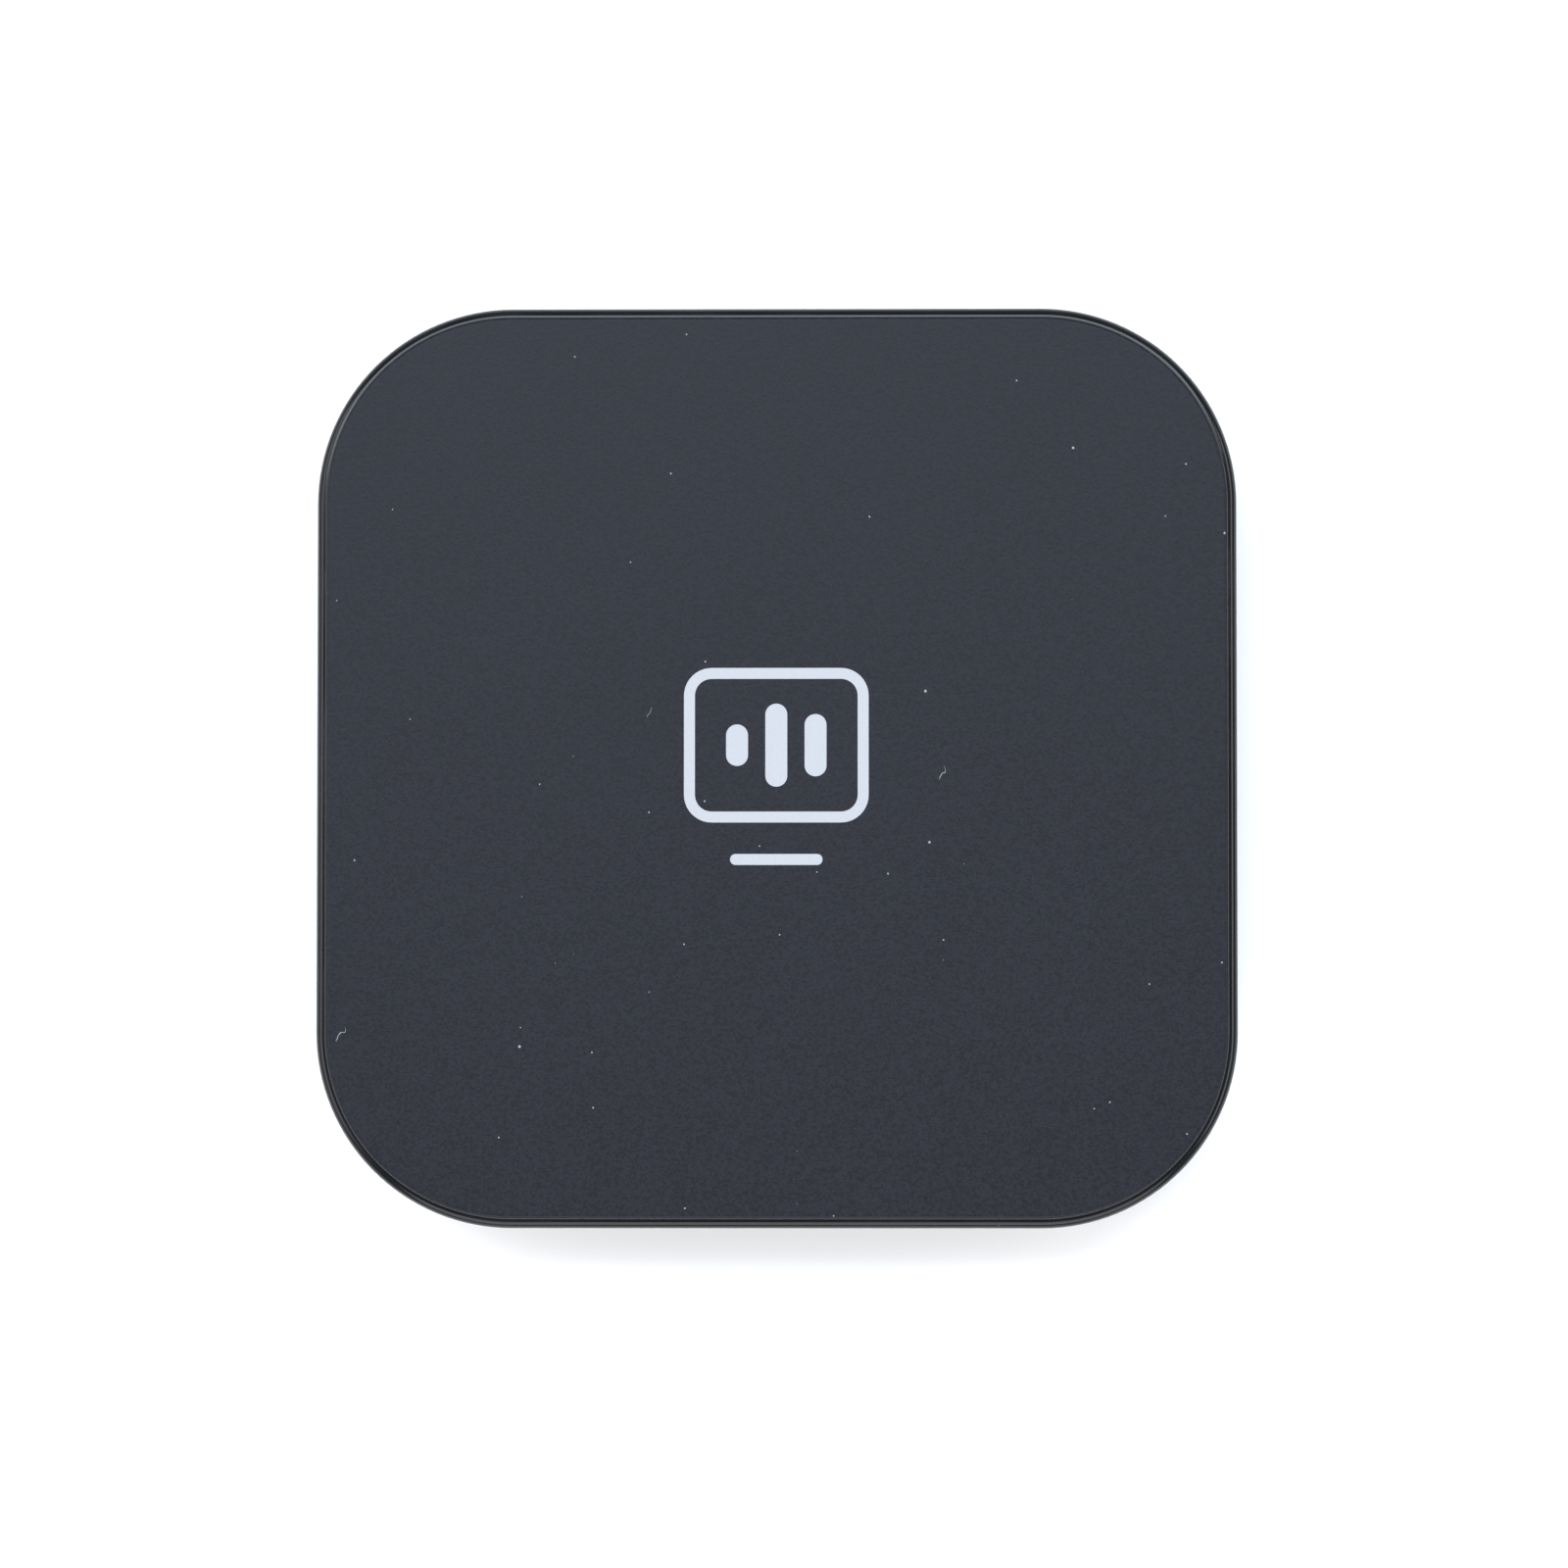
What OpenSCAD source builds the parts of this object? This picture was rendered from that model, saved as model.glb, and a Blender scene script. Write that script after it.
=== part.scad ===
// Streaming media player: a square puck with a clipped-on lid, a gloss side frame and a screwed base.
// Millimetres. The origin is the centre of the footprint at the underside of the feet, +Z is up, and the
// cable connectors face +Y. The status light faces -Y and the card slot faces +X.

/* [Case] */
// Outer width and depth of the case
case_w = 80; // [79:0.5:84]
// Height from the underside of the feet to the top of the lid
case_h = 16; // [16:0.25:18]
// Radius of the case's corners in plan
corner_r = 17; // [16:0.25:18]
// Wall thickness of the side frame
wall = 2.2; // [2:0.1:2.4]
// How far the lid's edge stands back from the widest line of the side frame
lid_inset = 0.85; // [0.5:0.05:1]
// Rounding of the lid's top edge
lid_edge_r = 0.4; // [0.2:0.05:0.6]
// Rounding of the side frame's outer edges
frame_edge_r = 0.8; // [0.5:0.05:1]
// Rounding of the base's lower edge
base_edge_r = 2.5; // [1.5:0.25:3]

/* [Feet and fasteners] */
// Distance of each foot and case screw from the centre, along X and along Y
post_at = 27.5; // [26.5:0.25:28]
// How far the feet stand below the base
foot_drop = 0.8; // [0.6:0.1:1]
// Diameter of a rubber foot
foot_d = 9; // [8:0.5:10]
// Thread diameter of the case screws
case_screw_d = 2; // [1.8:0.1:2.2]

/* [Mark on the lid] */
// Width of the screen pictogram
mark_w = 16; // [12:0.2:20]
// Height of the screen's outline
mark_h = 13.4; // [11:0.2:15]
// Width of its strokes
mark_stroke = 0.95; // [0.6:0.05:1.2]

/* [Connectors] */
// Centre of the video connector along X
video_x = 11; // [10:0.25:12]
// Centre of the power connector along X
power_x = -6; // [-7:0.25:-5]
// Centre of the reset button along X
reset_x = -18; // [-18.5:0.25:-17]
// Travel of the reset button
reset_travel = 0.3; // [0.2:0.05:0.3]
// Centre of the card socket along Y
card_y = -7; // [-8:0.25:-6]
// Travel of the card socket's eject slider
card_travel = 1.4; // [1:0.1:1.6]

/* [Cooling] */
// Number of fins on the heat sink
fin_count = 10; // [6:1:12]
// Number of air slots in each row of the base
slot_count = 13; // [8:1:14]

/* [Hidden] */
$fn = 48;
eps = 0.01;

// Plan: every wall of the case shares these corner centres, and its profiles measure x from them.
// The lips of the lid and the base stand seat_gap inside the side frame
half = case_w / 2;
corner_c = half - corner_r;
frame_in_r = corner_r - wall;
lid_r = corner_r - lid_inset;
base_r = corner_r - 0.6;
seat_gap = 0.2;
lip_t = 1.2;
lip_out_r = frame_in_r - seat_gap;
lip_in_r = lip_out_r - lip_t;

// Heights
floor_t = 1.6;
base_z = foot_drop;
floor_z = base_z + floor_t;
seam_z = 4.7;
board_z = 5;
board_t = 1.2;
board_top = board_z + board_t;
lip_top = board_top;
frame_top = case_h - 1.2;
lid_under = case_h - 1.6;
skirt_z = frame_top - 1.9;

// Board
board_r = lip_in_r - 0.2;
board_screw_at = [[24, 20], [-26, -20]];
board_screw_d = 1.6;

// Case screws and their posts
post_r = 2.6;
pilot_r = case_screw_d / 2 - 0.15;
screw_head_r = 1.9;
screw_head_z = base_z + 0.95;
screw_seat_z = base_z + 2.2;
screw_tip_z = board_top + 4.8;
screw_cone = 0.8;
cross_cut = [2.2, 0.4, 0.7];
foot_pocket = 0.8;
boss_r = 3.6;
board_boss_r = 2.2;

// Recess for the label, and the label in it
label_size = [34, 13];
label_r = 1.5;
label_y = -26.5;
label_t = 0.15;
label_gap = 0.3;
label_z = base_z + 0.1;

// Air slots: two rows of slots that run along Y
slot_size = [1.4, 16];
slot_pitch = 3;
slot_rows = [16, -4];

// Mark on the lid: level bars inside the screen, and a stand line below it
mark_t = 0.25;
mark_r = 2.4;
bar_heights = [3.6, 7.2, 5.4];
bar_w = 2 * mark_stroke;
bar_pitch = 3.4;
stand_w = 0.5 * mark_w;
stand_drop = 3.2;

// Snap clips between the lid and the side frame
clip_z = frame_top - 1.4;
clip_w = 8;
clip_h = 1;
clip_reach = 0.5;
clip_at = [-13, 13];

// Chips and small parts: where the centre of each stands, and its size
soc_at = [4, 3];
soc_size = [15, 15, 1.4];
memory_at = [[-10, -2.4], [-10, 8.4]];
memory_size = [12, 9.2, 1];
flash_at = [[-12, -20]];
flash_size = [11.5, 13, 1];
power_at = [[-5.5, 23]];
power_size = [5, 5, 0.8];
video_at = [[11, 21.5]];
video_size = [4, 4, 0.8];
inductor_at = [[-13.5, 26], [-13.5, 20.5], [0.5, 21]];
inductor_size = [4, 4, 2];
bulk_at = [[-30.5, 12.5], [-23.5, 12.5]];
bulk_base = [5.2, 5.2, 0.9];
bulk_d = 4.8;
bulk_h = 4.3;
crystal_at = [9, -15];
crystal_size = [3.2, 2.5, 0.8];

// Rows of small ceramic capacitors: start, count, step and the way that each one lies
cap_size = [1.6, 0.8, 0.8];
cap_rows = [
    [[-10, 18], 5, [1.7, 0], 90], [[-9.6, 28.5], 4, [0, -1.6], 0], [[5.5, 25.2], 6, [2, 0], 90],
    [[-19.5, -14.5], 6, [0, -2.1], 0], [[-4, -14.5], 6, [0, -2.1], 0], [[-18.2, -8], 5, [0, 2.2], 0],
    [[18.2, 14], 5, [0, -2], 0], [[18.2, -3], 6, [0, -2.2], 0], [[-14, -10.8], 9, [2.6, 0], 90],
    [[5, -20], 4, [2.4, 0], 90], [[5, -24], 4, [2.4, 0], 90]
];

// Shield can over the processor and memory, its thermal pads and the heat sink
can_at = [-1, 3];
can_size = [31, 22, 2.6];
can_t = 0.2;
pad_t = 0.8;
inner_pad_size = [13, 13];
outer_pad_size = [26, 18];
sink_size = [36, 27];
sink_z = board_top + can_size[2] + pad_t;
sink_base_t = 1.2;
sink_top = lid_under - 1;
fin_t = 1;

// Radio module and aerials. A ferrule is given by its reach from the plug's centre and its width
radio_at = [-26, -2];
radio_w = 12;
radio_board_t = 0.8;
radio_shield_t = 1.6;
plug_at = [[-29, -10.6], [-23, -10.6]];
plug_r = 1.15;
plug_top = board_top + 1.4;
ferrule = [2.4, 1.6];
aerial_t = 0.2;
aerial_z = [lip_top + 0.3, skirt_z - 0.4];
aerial_left_y = [-12, 12];
aerial_front_x = [4, 22];

// Aerial cables: each leaves its plug's ferrule level, and ends along the face of its aerial
coax_r = 0.55;
coax_z = board_top + 0.93;
coax_wall = half - wall - aerial_t - coax_r - 0.1;
left_route = [
    [plug_at[0][0] - ferrule[0], plug_at[0][1], coax_z], [-32.6, -10.6, coax_z], [-34.6, -10, coax_z + 0.2],
    [-36.4, -7.6, coax_z + 1.2], [-coax_wall, -4.8, coax_z + 2], [-coax_wall, -2, coax_z + 2]];
front_route = [
    [plug_at[1][0], plug_at[1][1] - ferrule[0], coax_z], [-23, -14.4, coax_z], [-22.4, -17, coax_z],
    [-22, -22, coax_z], [-21.6, -27, coax_z], [-19.6, -31, coax_z], [-15, -32.6, coax_z],
    [-8, -32.8, coax_z], [-1, -32.4, coax_z], [3.4, -33.4, coax_z + 0.4], [6.4, -36, coax_z + 1.4],
    [10, -coax_wall, coax_z + 2], [13, -coax_wall, coax_z + 2]];

// Connectors. The video outline keeps its full width down to video_shoulder below the centre, and its
// floor is video_taper narrower at each end
port_face = half - 0.6;
port_gap = 0.4;
shell_t = 0.3;
video_z = board_top + 2.75;
video_in = [14, 4.55];
video_shoulder = 0.5;
video_taper = 1.7;
video_depth = 12;
video_back = port_face - video_depth;
video_tongue_z = video_z + 0.35;
video_tongue = [11.8, 6.5, 1.4];
video_block = 4.2;
power_z = board_top + 1.7;
power_out = [8.94, 3.26];
power_in = [power_out[0] - 2 * shell_t, power_out[1] - 2 * shell_t];
power_depth = 7.4;
power_back = port_face - power_depth;
power_tongue = [6.7, 4.6, 0.7];
power_block = 2;

// Card socket, its eject slider and the slider's coil spring
card_slot = [12.2, 1.5];
thumb_recess = [15, 3.6, 0.9];
card_mouth = half - 3.4;
card_size = [14.8, 14.4, 1.9];
card_z = board_top + 1;
card_back = card_mouth - card_size[0];
card_floor_t = 0.4;
card_back_t = 0.6;
card_roof_t = 0.2;
card_lo = card_y - card_size[1] / 2;
card_hi = card_y + card_size[1] / 2;
rail_t = 0.5;
card_roof = board_top + card_size[2] - card_roof_t;
slider_y = card_hi - rail_t - 0.95;
slider_size = [5, 1.5, 1];
slider_x = card_back + card_back_t + 3.2 + card_travel;
slider_z = card_roof - 0.1 - slider_size[2] / 2;
spring_r = 0.4;
spring_wire_r = 0.08;
spring_turns = 6;
spring_x = card_back + card_back_t + spring_wire_r + 0.05;

// Reset button and its switch
reset_z = board_top + 2.4;
reset_r = 1.7;
reset_gap = 0.15;
reset_face = half - 0.3;
switch_front = 34.9;
switch_size = [6, 3.5, 4];
plunger_tip = switch_front + 0.6;
flange_y = half - wall - 0.05;
dome_y = switch_front - 1.6;
dome_r = 1.4;
dome_h = reset_travel + 0.18;
bracket_t = 0.2;

// Status light
led_z = board_top + 1.8;
led_y = -half + 4.9;
led_size = [2.4, 1.6, 2.8];
pipe_r = 1;
pipe_end = -half + 3.5;

// Points on an arc about [x, z], counted in n steps
function arc(x, z, r, from, to, n = 6) =
    [for (i = [0 : n]) let (a = from + (to - from) * i / n) [x + r * cos(a), z + r * sin(a)]];

// Outline of a rectangle with round corners, centred on the origin
function pill(w, h, r, n = 6) = concat(
    arc(w / 2 - r, h / 2 - r, r, 0, 90, n), arc(r - w / 2, h / 2 - r, r, 90, 180, n),
    arc(r - w / 2, r - h / 2, r, 180, 270, n), arc(w / 2 - r, r - h / 2, r, 270, 360, n));

// Outline of the video opening, grown by g on every side
function video_outline(g) =
    let (x = video_in[0] / 2 + g, floor_x = video_in[0] / 2 - video_taper + g / 2, z = video_in[1] / 2 + g,
         shoulder = video_shoulder + g / 2)
    [[-x, z], [x, z], [x, -shoulder], [floor_x, -z], [-floor_x, -z], [-x, -shoulder]];

// Sweeps a profile round the case's rounded square: its x runs outwards from the corner centres, and its
// y is height
module sweep_square(profile) {
    for (q = [0 : 3])
        rotate([0, 0, 90 * q]) {
            translate([corner_c, corner_c, 0])
                rotate_extrude(angle = 90) polygon(profile);
            translate([corner_c, corner_c, 0])
                rotate([90, 0, 0]) linear_extrude(2 * corner_c) polygon(profile);
        }
}

// The square between the corner centres, from one height to another
module middle(z0, z1) {
    translate([-corner_c, -corner_c, z0]) cube([2 * corner_c, 2 * corner_c, z1 - z0]);
}

module at_corners(d) {
    for (x = [-d, d], y = [-d, d]) translate([x, y, 0]) children();
}

// A box given by its centre in plan, its foot and its size
module block(at, z, size) {
    translate([at[0] - size[0] / 2, at[1] - size[1] / 2, z]) cube(size);
}

// A solid that runs along Y from y0 to y1, with its outline seen from -Y centred on x, z
module along_y(x, z, y0, y1, outline) {
    translate([x, y1, z]) rotate([90, 0, 0]) linear_extrude(y1 - y0) polygon(outline);
}

// A round rod along Y
module rod_y(x, z, y0, y1, r) {
    translate([x, y0, z]) rotate([-90, 0, 0]) cylinder(r = r, h = y1 - y0);
}

// A point between b and c on a smooth curve that also passes near a and d, at t from 0 to 1
function curve_point(a, b, c, d, t) =
    (2 * b + (c - a) * t + (2 * a - 5 * b + 4 * c - d) * t * t + (3 * b - a - 3 * c + d) * t * t * t) / 2;

// A smooth route through the points p, with n steps from each to the next
function smooth_route(p, n) = [
    for (i = [0 : len(p) - 2], k = [0 : n - 1])
        curve_point(i > 0 ? p[i - 1] : 2 * p[0] - p[1], p[i], p[i + 1],
                    i < len(p) - 2 ? p[i + 2] : 2 * p[i + 1] - p[i], k / n),
    p[len(p) - 1]];

// A tube swept along a route. No stretch of the route runs parallel to the direction about
module tube(route, r, about, sides = 8) {
    last = len(route) - 1;
    rings = [for (i = [0 : last])
        let (way = route[min(i + 1, last)] - route[max(i - 1, 0)],
             across = cross(way, about),
             side = across / norm(across),
             up = cross(side, way) / norm(way))
        for (k = [0 : sides - 1])
            route[i] + r * (side * cos(360 * k / sides) + up * sin(360 * k / sides))];
    walls = [for (i = [0 : last - 1], k = [0 : sides - 1])
        let (a = i * sides + k, b = i * sides + (k + 1) % sides)
        each [[a, b, a + sides], [b, b + sides, a + sides]]];
    ends = [[for (k = [sides - 1 : -1 : 0]) k], [for (k = [0 : sides - 1]) last * sides + k]];
    polyhedron(rings, concat(walls, ends));
}

// --- Case ---------------------------------------------------------------------------------------------

// Screen pictogram: an outline, level bars inside it and a stand line below, all in one flat layer
module mark_shape(z, t) {
    lift = (stand_drop + mark_stroke / 2) / 2;
    translate([0, lift, z]) {
        difference() {
            linear_extrude(t) polygon(pill(mark_w, mark_h, mark_r));
            translate([0, 0, -eps]) linear_extrude(t + 2 * eps)
                polygon(pill(mark_w - 2 * mark_stroke, mark_h - 2 * mark_stroke, mark_r - mark_stroke));
        }
        for (i = [-1 : 1])
            translate([bar_pitch * i, 0, 0]) linear_extrude(t)
                polygon(pill(bar_w, bar_heights[i + 1], bar_w / 2 - eps));
    }
    translate([0, lift - mark_h / 2 - stand_drop, z]) linear_extrude(t)
        polygon(pill(stand_w, mark_stroke, mark_stroke / 2 - eps));
}

// Wedge that snaps into the side frame, or its pocket when grown
module lid_clip(grow) {
    reach = clip_reach + grow;
    top = clip_h + 2 * grow;
    translate([-clip_w / 2 - grow, 0, clip_z - grow])
        rotate([90, 0, 90]) linear_extrude(clip_w + 2 * grow)
        polygon([[-0.3, 0], [0.1, 0], [reach, clip_h / 2], [reach, top - 0.2 - grow],
                 [0.1, top], [-0.3, top]]);
}

// Puts a clip's shape at each place on the four sides, r out from the corner centres
module at_clips(r) {
    for (q = [0 : 3], x = clip_at)
        rotate([0, 0, 90 * q]) translate([x, corner_c + r, 0]) children();
}

module top_cover() {
    profile = concat(
        [[0, lid_under], [lip_in_r, lid_under], [lip_in_r, skirt_z], [lip_out_r, skirt_z],
         [lip_out_r, frame_top], [lid_r, frame_top]],
        arc(lid_r - lid_edge_r, case_h - lid_edge_r, lid_edge_r, 0, 90), [[0, case_h]]);
    color("#3d414a") difference() {
        union() {
            sweep_square(profile);
            middle(lid_under, case_h);
            at_clips(lip_out_r) lid_clip(0);
            at_corners(post_at) translate([0, 0, board_top])
                cylinder(r = post_r, h = lid_under + eps - board_top);
        }
        at_corners(post_at) translate([0, 0, board_top - eps])
            cylinder(r = pilot_r, h = screw_tip_z + 1 - board_top);
        mark_shape(case_h - mark_t, 1);
    }
}

module cover_mark() {
    color("#dde4ec") mark_shape(case_h - mark_t, mark_t);
}

module side_frame() {
    profile = concat(
        [[frame_in_r, seam_z]],
        arc(corner_r - frame_edge_r, seam_z + frame_edge_r, frame_edge_r, -90, 0),
        arc(corner_r - frame_edge_r, frame_top - frame_edge_r, frame_edge_r, 0, 90),
        [[frame_in_r, frame_top]]);
    inside = half - wall - 1;
    color("#17191c") difference() {
        sweep_square(profile);
        at_clips(frame_in_r - seat_gap) lid_clip(0.15);
        along_y(video_x, video_z, inside, half + 1, video_outline(shell_t + port_gap));
        along_y(power_x, power_z, inside, half + 1,
                pill(power_out[0] + 2 * port_gap, power_out[1] + 2 * port_gap,
                     power_out[1] / 2 + port_gap - eps));
        rod_y(reset_x, reset_z, inside, half + 1, reset_r + reset_gap);
        rod_y(0, led_z, -half - 1, -inside, pipe_r + 0.05);
        // Card slot with a thumb recess in the outer face
        translate([inside, card_y - card_slot[0] / 2, card_z - card_slot[1] / 2])
            cube([wall + 2, card_slot[0], card_slot[1]]);
        translate([half - thumb_recess[2], card_y, card_z]) rotate([90, 0, 90])
            linear_extrude(2) polygon(pill(thumb_recess[0], thumb_recess[1], thumb_recess[1] / 2 - 0.2));
    }
}

// A row of air slots across the middle of the base, centred on y
module air_slots(y) {
    for (i = [0 : slot_count - 1])
        translate([(i - (slot_count - 1) / 2) * slot_pitch, y, base_z - 1])
            linear_extrude(floor_t + 2) polygon(pill(slot_size[0], slot_size[1], slot_size[0] / 2 - eps, 4));
}

module base_cover() {
    profile = concat(
        [[0, base_z]],
        arc(base_r - base_edge_r, base_z + base_edge_r, base_edge_r, -90, 0),
        [[base_r, seam_z], [lip_out_r, seam_z], [lip_out_r, lip_top], [lip_in_r, lip_top],
         [lip_in_r, floor_z], [0, floor_z]]);
    color("#1b1c1e") difference() {
        union() {
            sweep_square(profile);
            middle(base_z, floor_z);
            at_corners(post_at) translate([0, 0, floor_z - eps])
                cylinder(r = boss_r, h = board_z - floor_z + eps);
            for (p = board_screw_at)
                translate([p[0], p[1], floor_z - eps])
                    cylinder(r = board_boss_r, h = board_z - floor_z + eps);
        }
        at_corners(post_at) {
            translate([0, 0, base_z - 1]) cylinder(d = foot_d + 0.2, h = 1 + foot_pocket);
            translate([0, 0, base_z]) cylinder(r = screw_head_r + 0.2, h = screw_seat_z - base_z);
            cylinder(r = case_screw_d / 2 + 0.15, h = board_z + 1);
        }
        for (p = board_screw_at)
            translate([p[0], p[1], floor_z]) cylinder(r = board_screw_d / 2 - 0.1, h = board_z);
        for (y = slot_rows) air_slots(y);
        translate([0, label_y, base_z - 1]) linear_extrude(1 + label_z + label_t - base_z)
            polygon(pill(label_size[0] + 2 * label_gap, label_size[1] + 2 * label_gap, label_r + label_gap));
    }
}

module rubber_feet() {
    color("#2a2b2c") at_corners(post_at) {
        cylinder(r1 = foot_d / 2 - 0.5, r2 = foot_d / 2, h = 0.5);
        translate([0, 0, 0.5]) cylinder(d = foot_d, h = base_z + foot_pocket - 0.5);
    }
}

// Cross recess of a screw, as long, wide and deep as size says
module cross_recess(size) {
    for (a = [0, 90])
        rotate([0, 0, a]) translate([-size[0] / 2, -size[1] / 2, 0]) cube([size[0], size[1], size[2] + eps]);
}

module case_screws() {
    color("#8d9094") at_corners(post_at) difference() {
        union() {
            translate([0, 0, screw_head_z])
                cylinder(r = screw_head_r, h = screw_seat_z - screw_head_z);
            translate([0, 0, screw_seat_z - eps])
                cylinder(d = case_screw_d, h = screw_tip_z - screw_cone - screw_seat_z + eps);
            translate([0, 0, screw_tip_z - screw_cone])
                cylinder(d1 = case_screw_d, d2 = case_screw_d / 2, h = screw_cone);
        }
        translate([0, 0, screw_head_z - eps]) cross_recess(cross_cut);
    }
}

module base_label() {
    color("#c9ccd0") translate([0, label_y, label_z]) linear_extrude(label_t)
        polygon(pill(label_size[0], label_size[1], label_r));
}

// --- Board and what is soldered to it -----------------------------------------------------------------

module main_board() {
    color("#1f4d3a") difference() {
        union() {
            sweep_square([[0, board_z], [board_r, board_z], [board_r, board_top], [0, board_top]]);
            middle(board_z, board_top);
        }
        at_corners(post_at) cylinder(r = case_screw_d / 2 + 0.15, h = case_h);
        for (p = board_screw_at) translate([p[0], p[1], 0]) cylinder(d = board_screw_d + 0.3, h = case_h);
    }
}

module board_screws() {
    color("#b9bcc0") for (p = board_screw_at) translate([p[0], p[1], 0]) difference() {
        union() {
            translate([0, 0, board_top]) cylinder(r = 1.5, h = 0.8);
            translate([0, 0, floor_z + 0.4]) cylinder(d = board_screw_d, h = board_top - floor_z - 0.4 + eps);
        }
        translate([0, 0, board_top + 0.3]) cross_recess([1.8, 0.34, 0.5]);
    }
}

// Chips in their moulded packages, each with a dimple at pin 1
module packages(places, size) {
    dimple = [0.4, 0.1];
    for (p = places) difference() {
        block(p, board_top, size);
        translate([p[0] - size[0] / 2 + 3 * dimple[0], p[1] + size[1] / 2 - 3 * dimple[0],
                   board_top + size[2] - dimple[1]])
            cylinder(r = dimple[0], h = 1, $fn = 24);
    }
}

module soc_chip() {
    color("#26272a") packages([soc_at], soc_size);
}

module memory_chips() {
    color("#2a2b2e") packages(memory_at, memory_size);
}

module flash_chip() {
    color("#2a2b2e") packages(flash_at, flash_size);
}

module power_chip() {
    color("#26272a") packages(power_at, power_size);
}

module video_chip() {
    color("#26272a") packages(video_at, video_size);
}

module power_inductors() {
    color("#3b3c3e") for (p = inductor_at) difference() {
        block(p, board_top, inductor_size);
        translate([p[0], p[1], board_top + inductor_size[2] - 0.2])
            cylinder(d = inductor_size[0] * 0.65, h = 1);
    }
}

module bulk_capacitors() {
    color("#c3c6ca") for (p = bulk_at) {
        block(p, board_top, bulk_base);
        translate([p[0], p[1], board_top + bulk_base[2] - eps]) cylinder(d = bulk_d, h = bulk_h + eps);
    }
}

module chip_capacitors() {
    color("#b89a6c") for (row = cap_rows, i = [0 : row[1] - 1])
        translate([row[0][0] + row[2][0] * i, row[0][1] + row[2][1] * i, board_top])
            rotate([0, 0, row[3]]) block([0, 0], 0, cap_size);
}

module crystal() {
    color("#c8cacd") translate([crystal_at[0], crystal_at[1], board_top])
        linear_extrude(crystal_size[2]) polygon(pill(crystal_size[0], crystal_size[1], 0.4));
}

module shield_can() {
    color("#b4b8bc") difference() {
        block(can_at, board_top, can_size);
        block(can_at, board_top - eps, [can_size[0] - 2 * can_t, can_size[1] - 2 * can_t,
                                        can_size[2] - can_t + eps]);
    }
}

module inner_thermal_pad() {
    color("#8fb3c9") block(soc_at, board_top + soc_size[2],
        [inner_pad_size[0], inner_pad_size[1], can_size[2] - can_t - soc_size[2]]);
}

module outer_thermal_pad() {
    color("#8fb3c9") block(can_at, board_top + can_size[2], [outer_pad_size[0], outer_pad_size[1], pad_t]);
}

module heat_sink() {
    pitch = (sink_size[0] - fin_t) / (fin_count - 1);
    color("#9ea2a6") {
        block(can_at, sink_z, [sink_size[0], sink_size[1], sink_base_t]);
        for (i = [0 : fin_count - 1])
            translate([can_at[0] - sink_size[0] / 2 + pitch * i, can_at[1] - sink_size[1] / 2,
                       sink_z + sink_base_t - eps])
                cube([fin_t, sink_size[1], sink_top - sink_z - sink_base_t + eps]);
    }
}

// --- Radio --------------------------------------------------------------------------------------------

module radio_board() {
    color("#20503e") block(radio_at, board_top, [radio_w, radio_w, radio_board_t]);
}

module radio_shield() {
    color("#c0c4c8") block(radio_at, board_top + radio_board_t,
        [radio_w - 1, radio_w - 1, radio_shield_t]);
}

module antenna_left() {
    color("#c58a3c") translate([-half + wall, aerial_left_y[0], aerial_z[0]])
        cube([aerial_t, aerial_left_y[1] - aerial_left_y[0], aerial_z[1] - aerial_z[0]]);
}

module antenna_front() {
    color("#c58a3c") translate([aerial_front_x[0], -half + wall, aerial_z[0]])
        cube([aerial_front_x[1] - aerial_front_x[0], aerial_t, aerial_z[1] - aerial_z[0]]);
}

module antenna_sockets() {
    color("#d8b25c") for (p = plug_at) {
        block(p, board_top, [2.6, 2.6, 0.35]);
        translate([p[0], p[1], board_top + 0.3]) cylinder(r = 0.3, h = 0.5, $fn = 24);
    }
}

// A round push-on plug, open below, with a ferrule that grips the cable on its way out along dir
module plug(p, dir) {
    z0 = board_top + 0.35;
    translate([p[0], p[1], 0]) rotate([0, 0, dir]) difference() {
        union() {
            translate([0, 0, z0]) cylinder(r = plug_r, h = plug_top - z0);
            translate([0, -ferrule[1] / 2, z0 + 0.02])
                cube([ferrule[0], ferrule[1], plug_top - z0 - 0.04]);
        }
        translate([0, 0, board_top]) cylinder(r = plug_r - 0.4, h = 0.85);
    }
}

module antenna_plugs() {
    color("#d6b365") {
        plug(plug_at[0], 180);
        plug(plug_at[1], -90);
    }
}

module antenna_cable(route) {
    color("#1d1e20") tube(smooth_route(route, 6), coax_r, [0, 0, 1]);
}

module antenna_cable_left() {
    antenna_cable(left_route);
}

module antenna_cable_front() {
    antenna_cable(front_route);
}

// --- Video connector ----------------------------------------------------------------------------------

module video_port_shell() {
    color("#c2c5c9") {
        difference() {
            along_y(video_x, video_z, video_back, port_face, video_outline(shell_t));
            along_y(video_x, video_z, video_back + shell_t, port_face + 1, video_outline(0));
        }
        shell_tabs(video_x, video_in[0] / 2 + shell_t / 2, video_z, [video_back + 1.5, video_back + 7], 1.6);
        block([video_x, video_back + 5], board_top,
              [9, 8, video_z - video_in[1] / 2 - shell_t / 2 - board_top]);
    }
}

// Tabs that solder a connector's shell to the board, one at each side of x at every y
module shell_tabs(x, reach, z, ys, width) {
    for (s = [-1, 1], y = ys)
        translate([x + s * reach - shell_t / 2, y, board_top]) cube([shell_t, width, z - board_top]);
}

module video_port_tongue() {
    color("#1f2022") {
        along_y(video_x, video_z, video_back + shell_t, video_back + video_block, video_outline(-2 * eps));
        translate([video_x - video_tongue[0] / 2, video_back + video_block - eps,
                   video_tongue_z - video_tongue[2] / 2])
            cube(video_tongue);
    }
}

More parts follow.
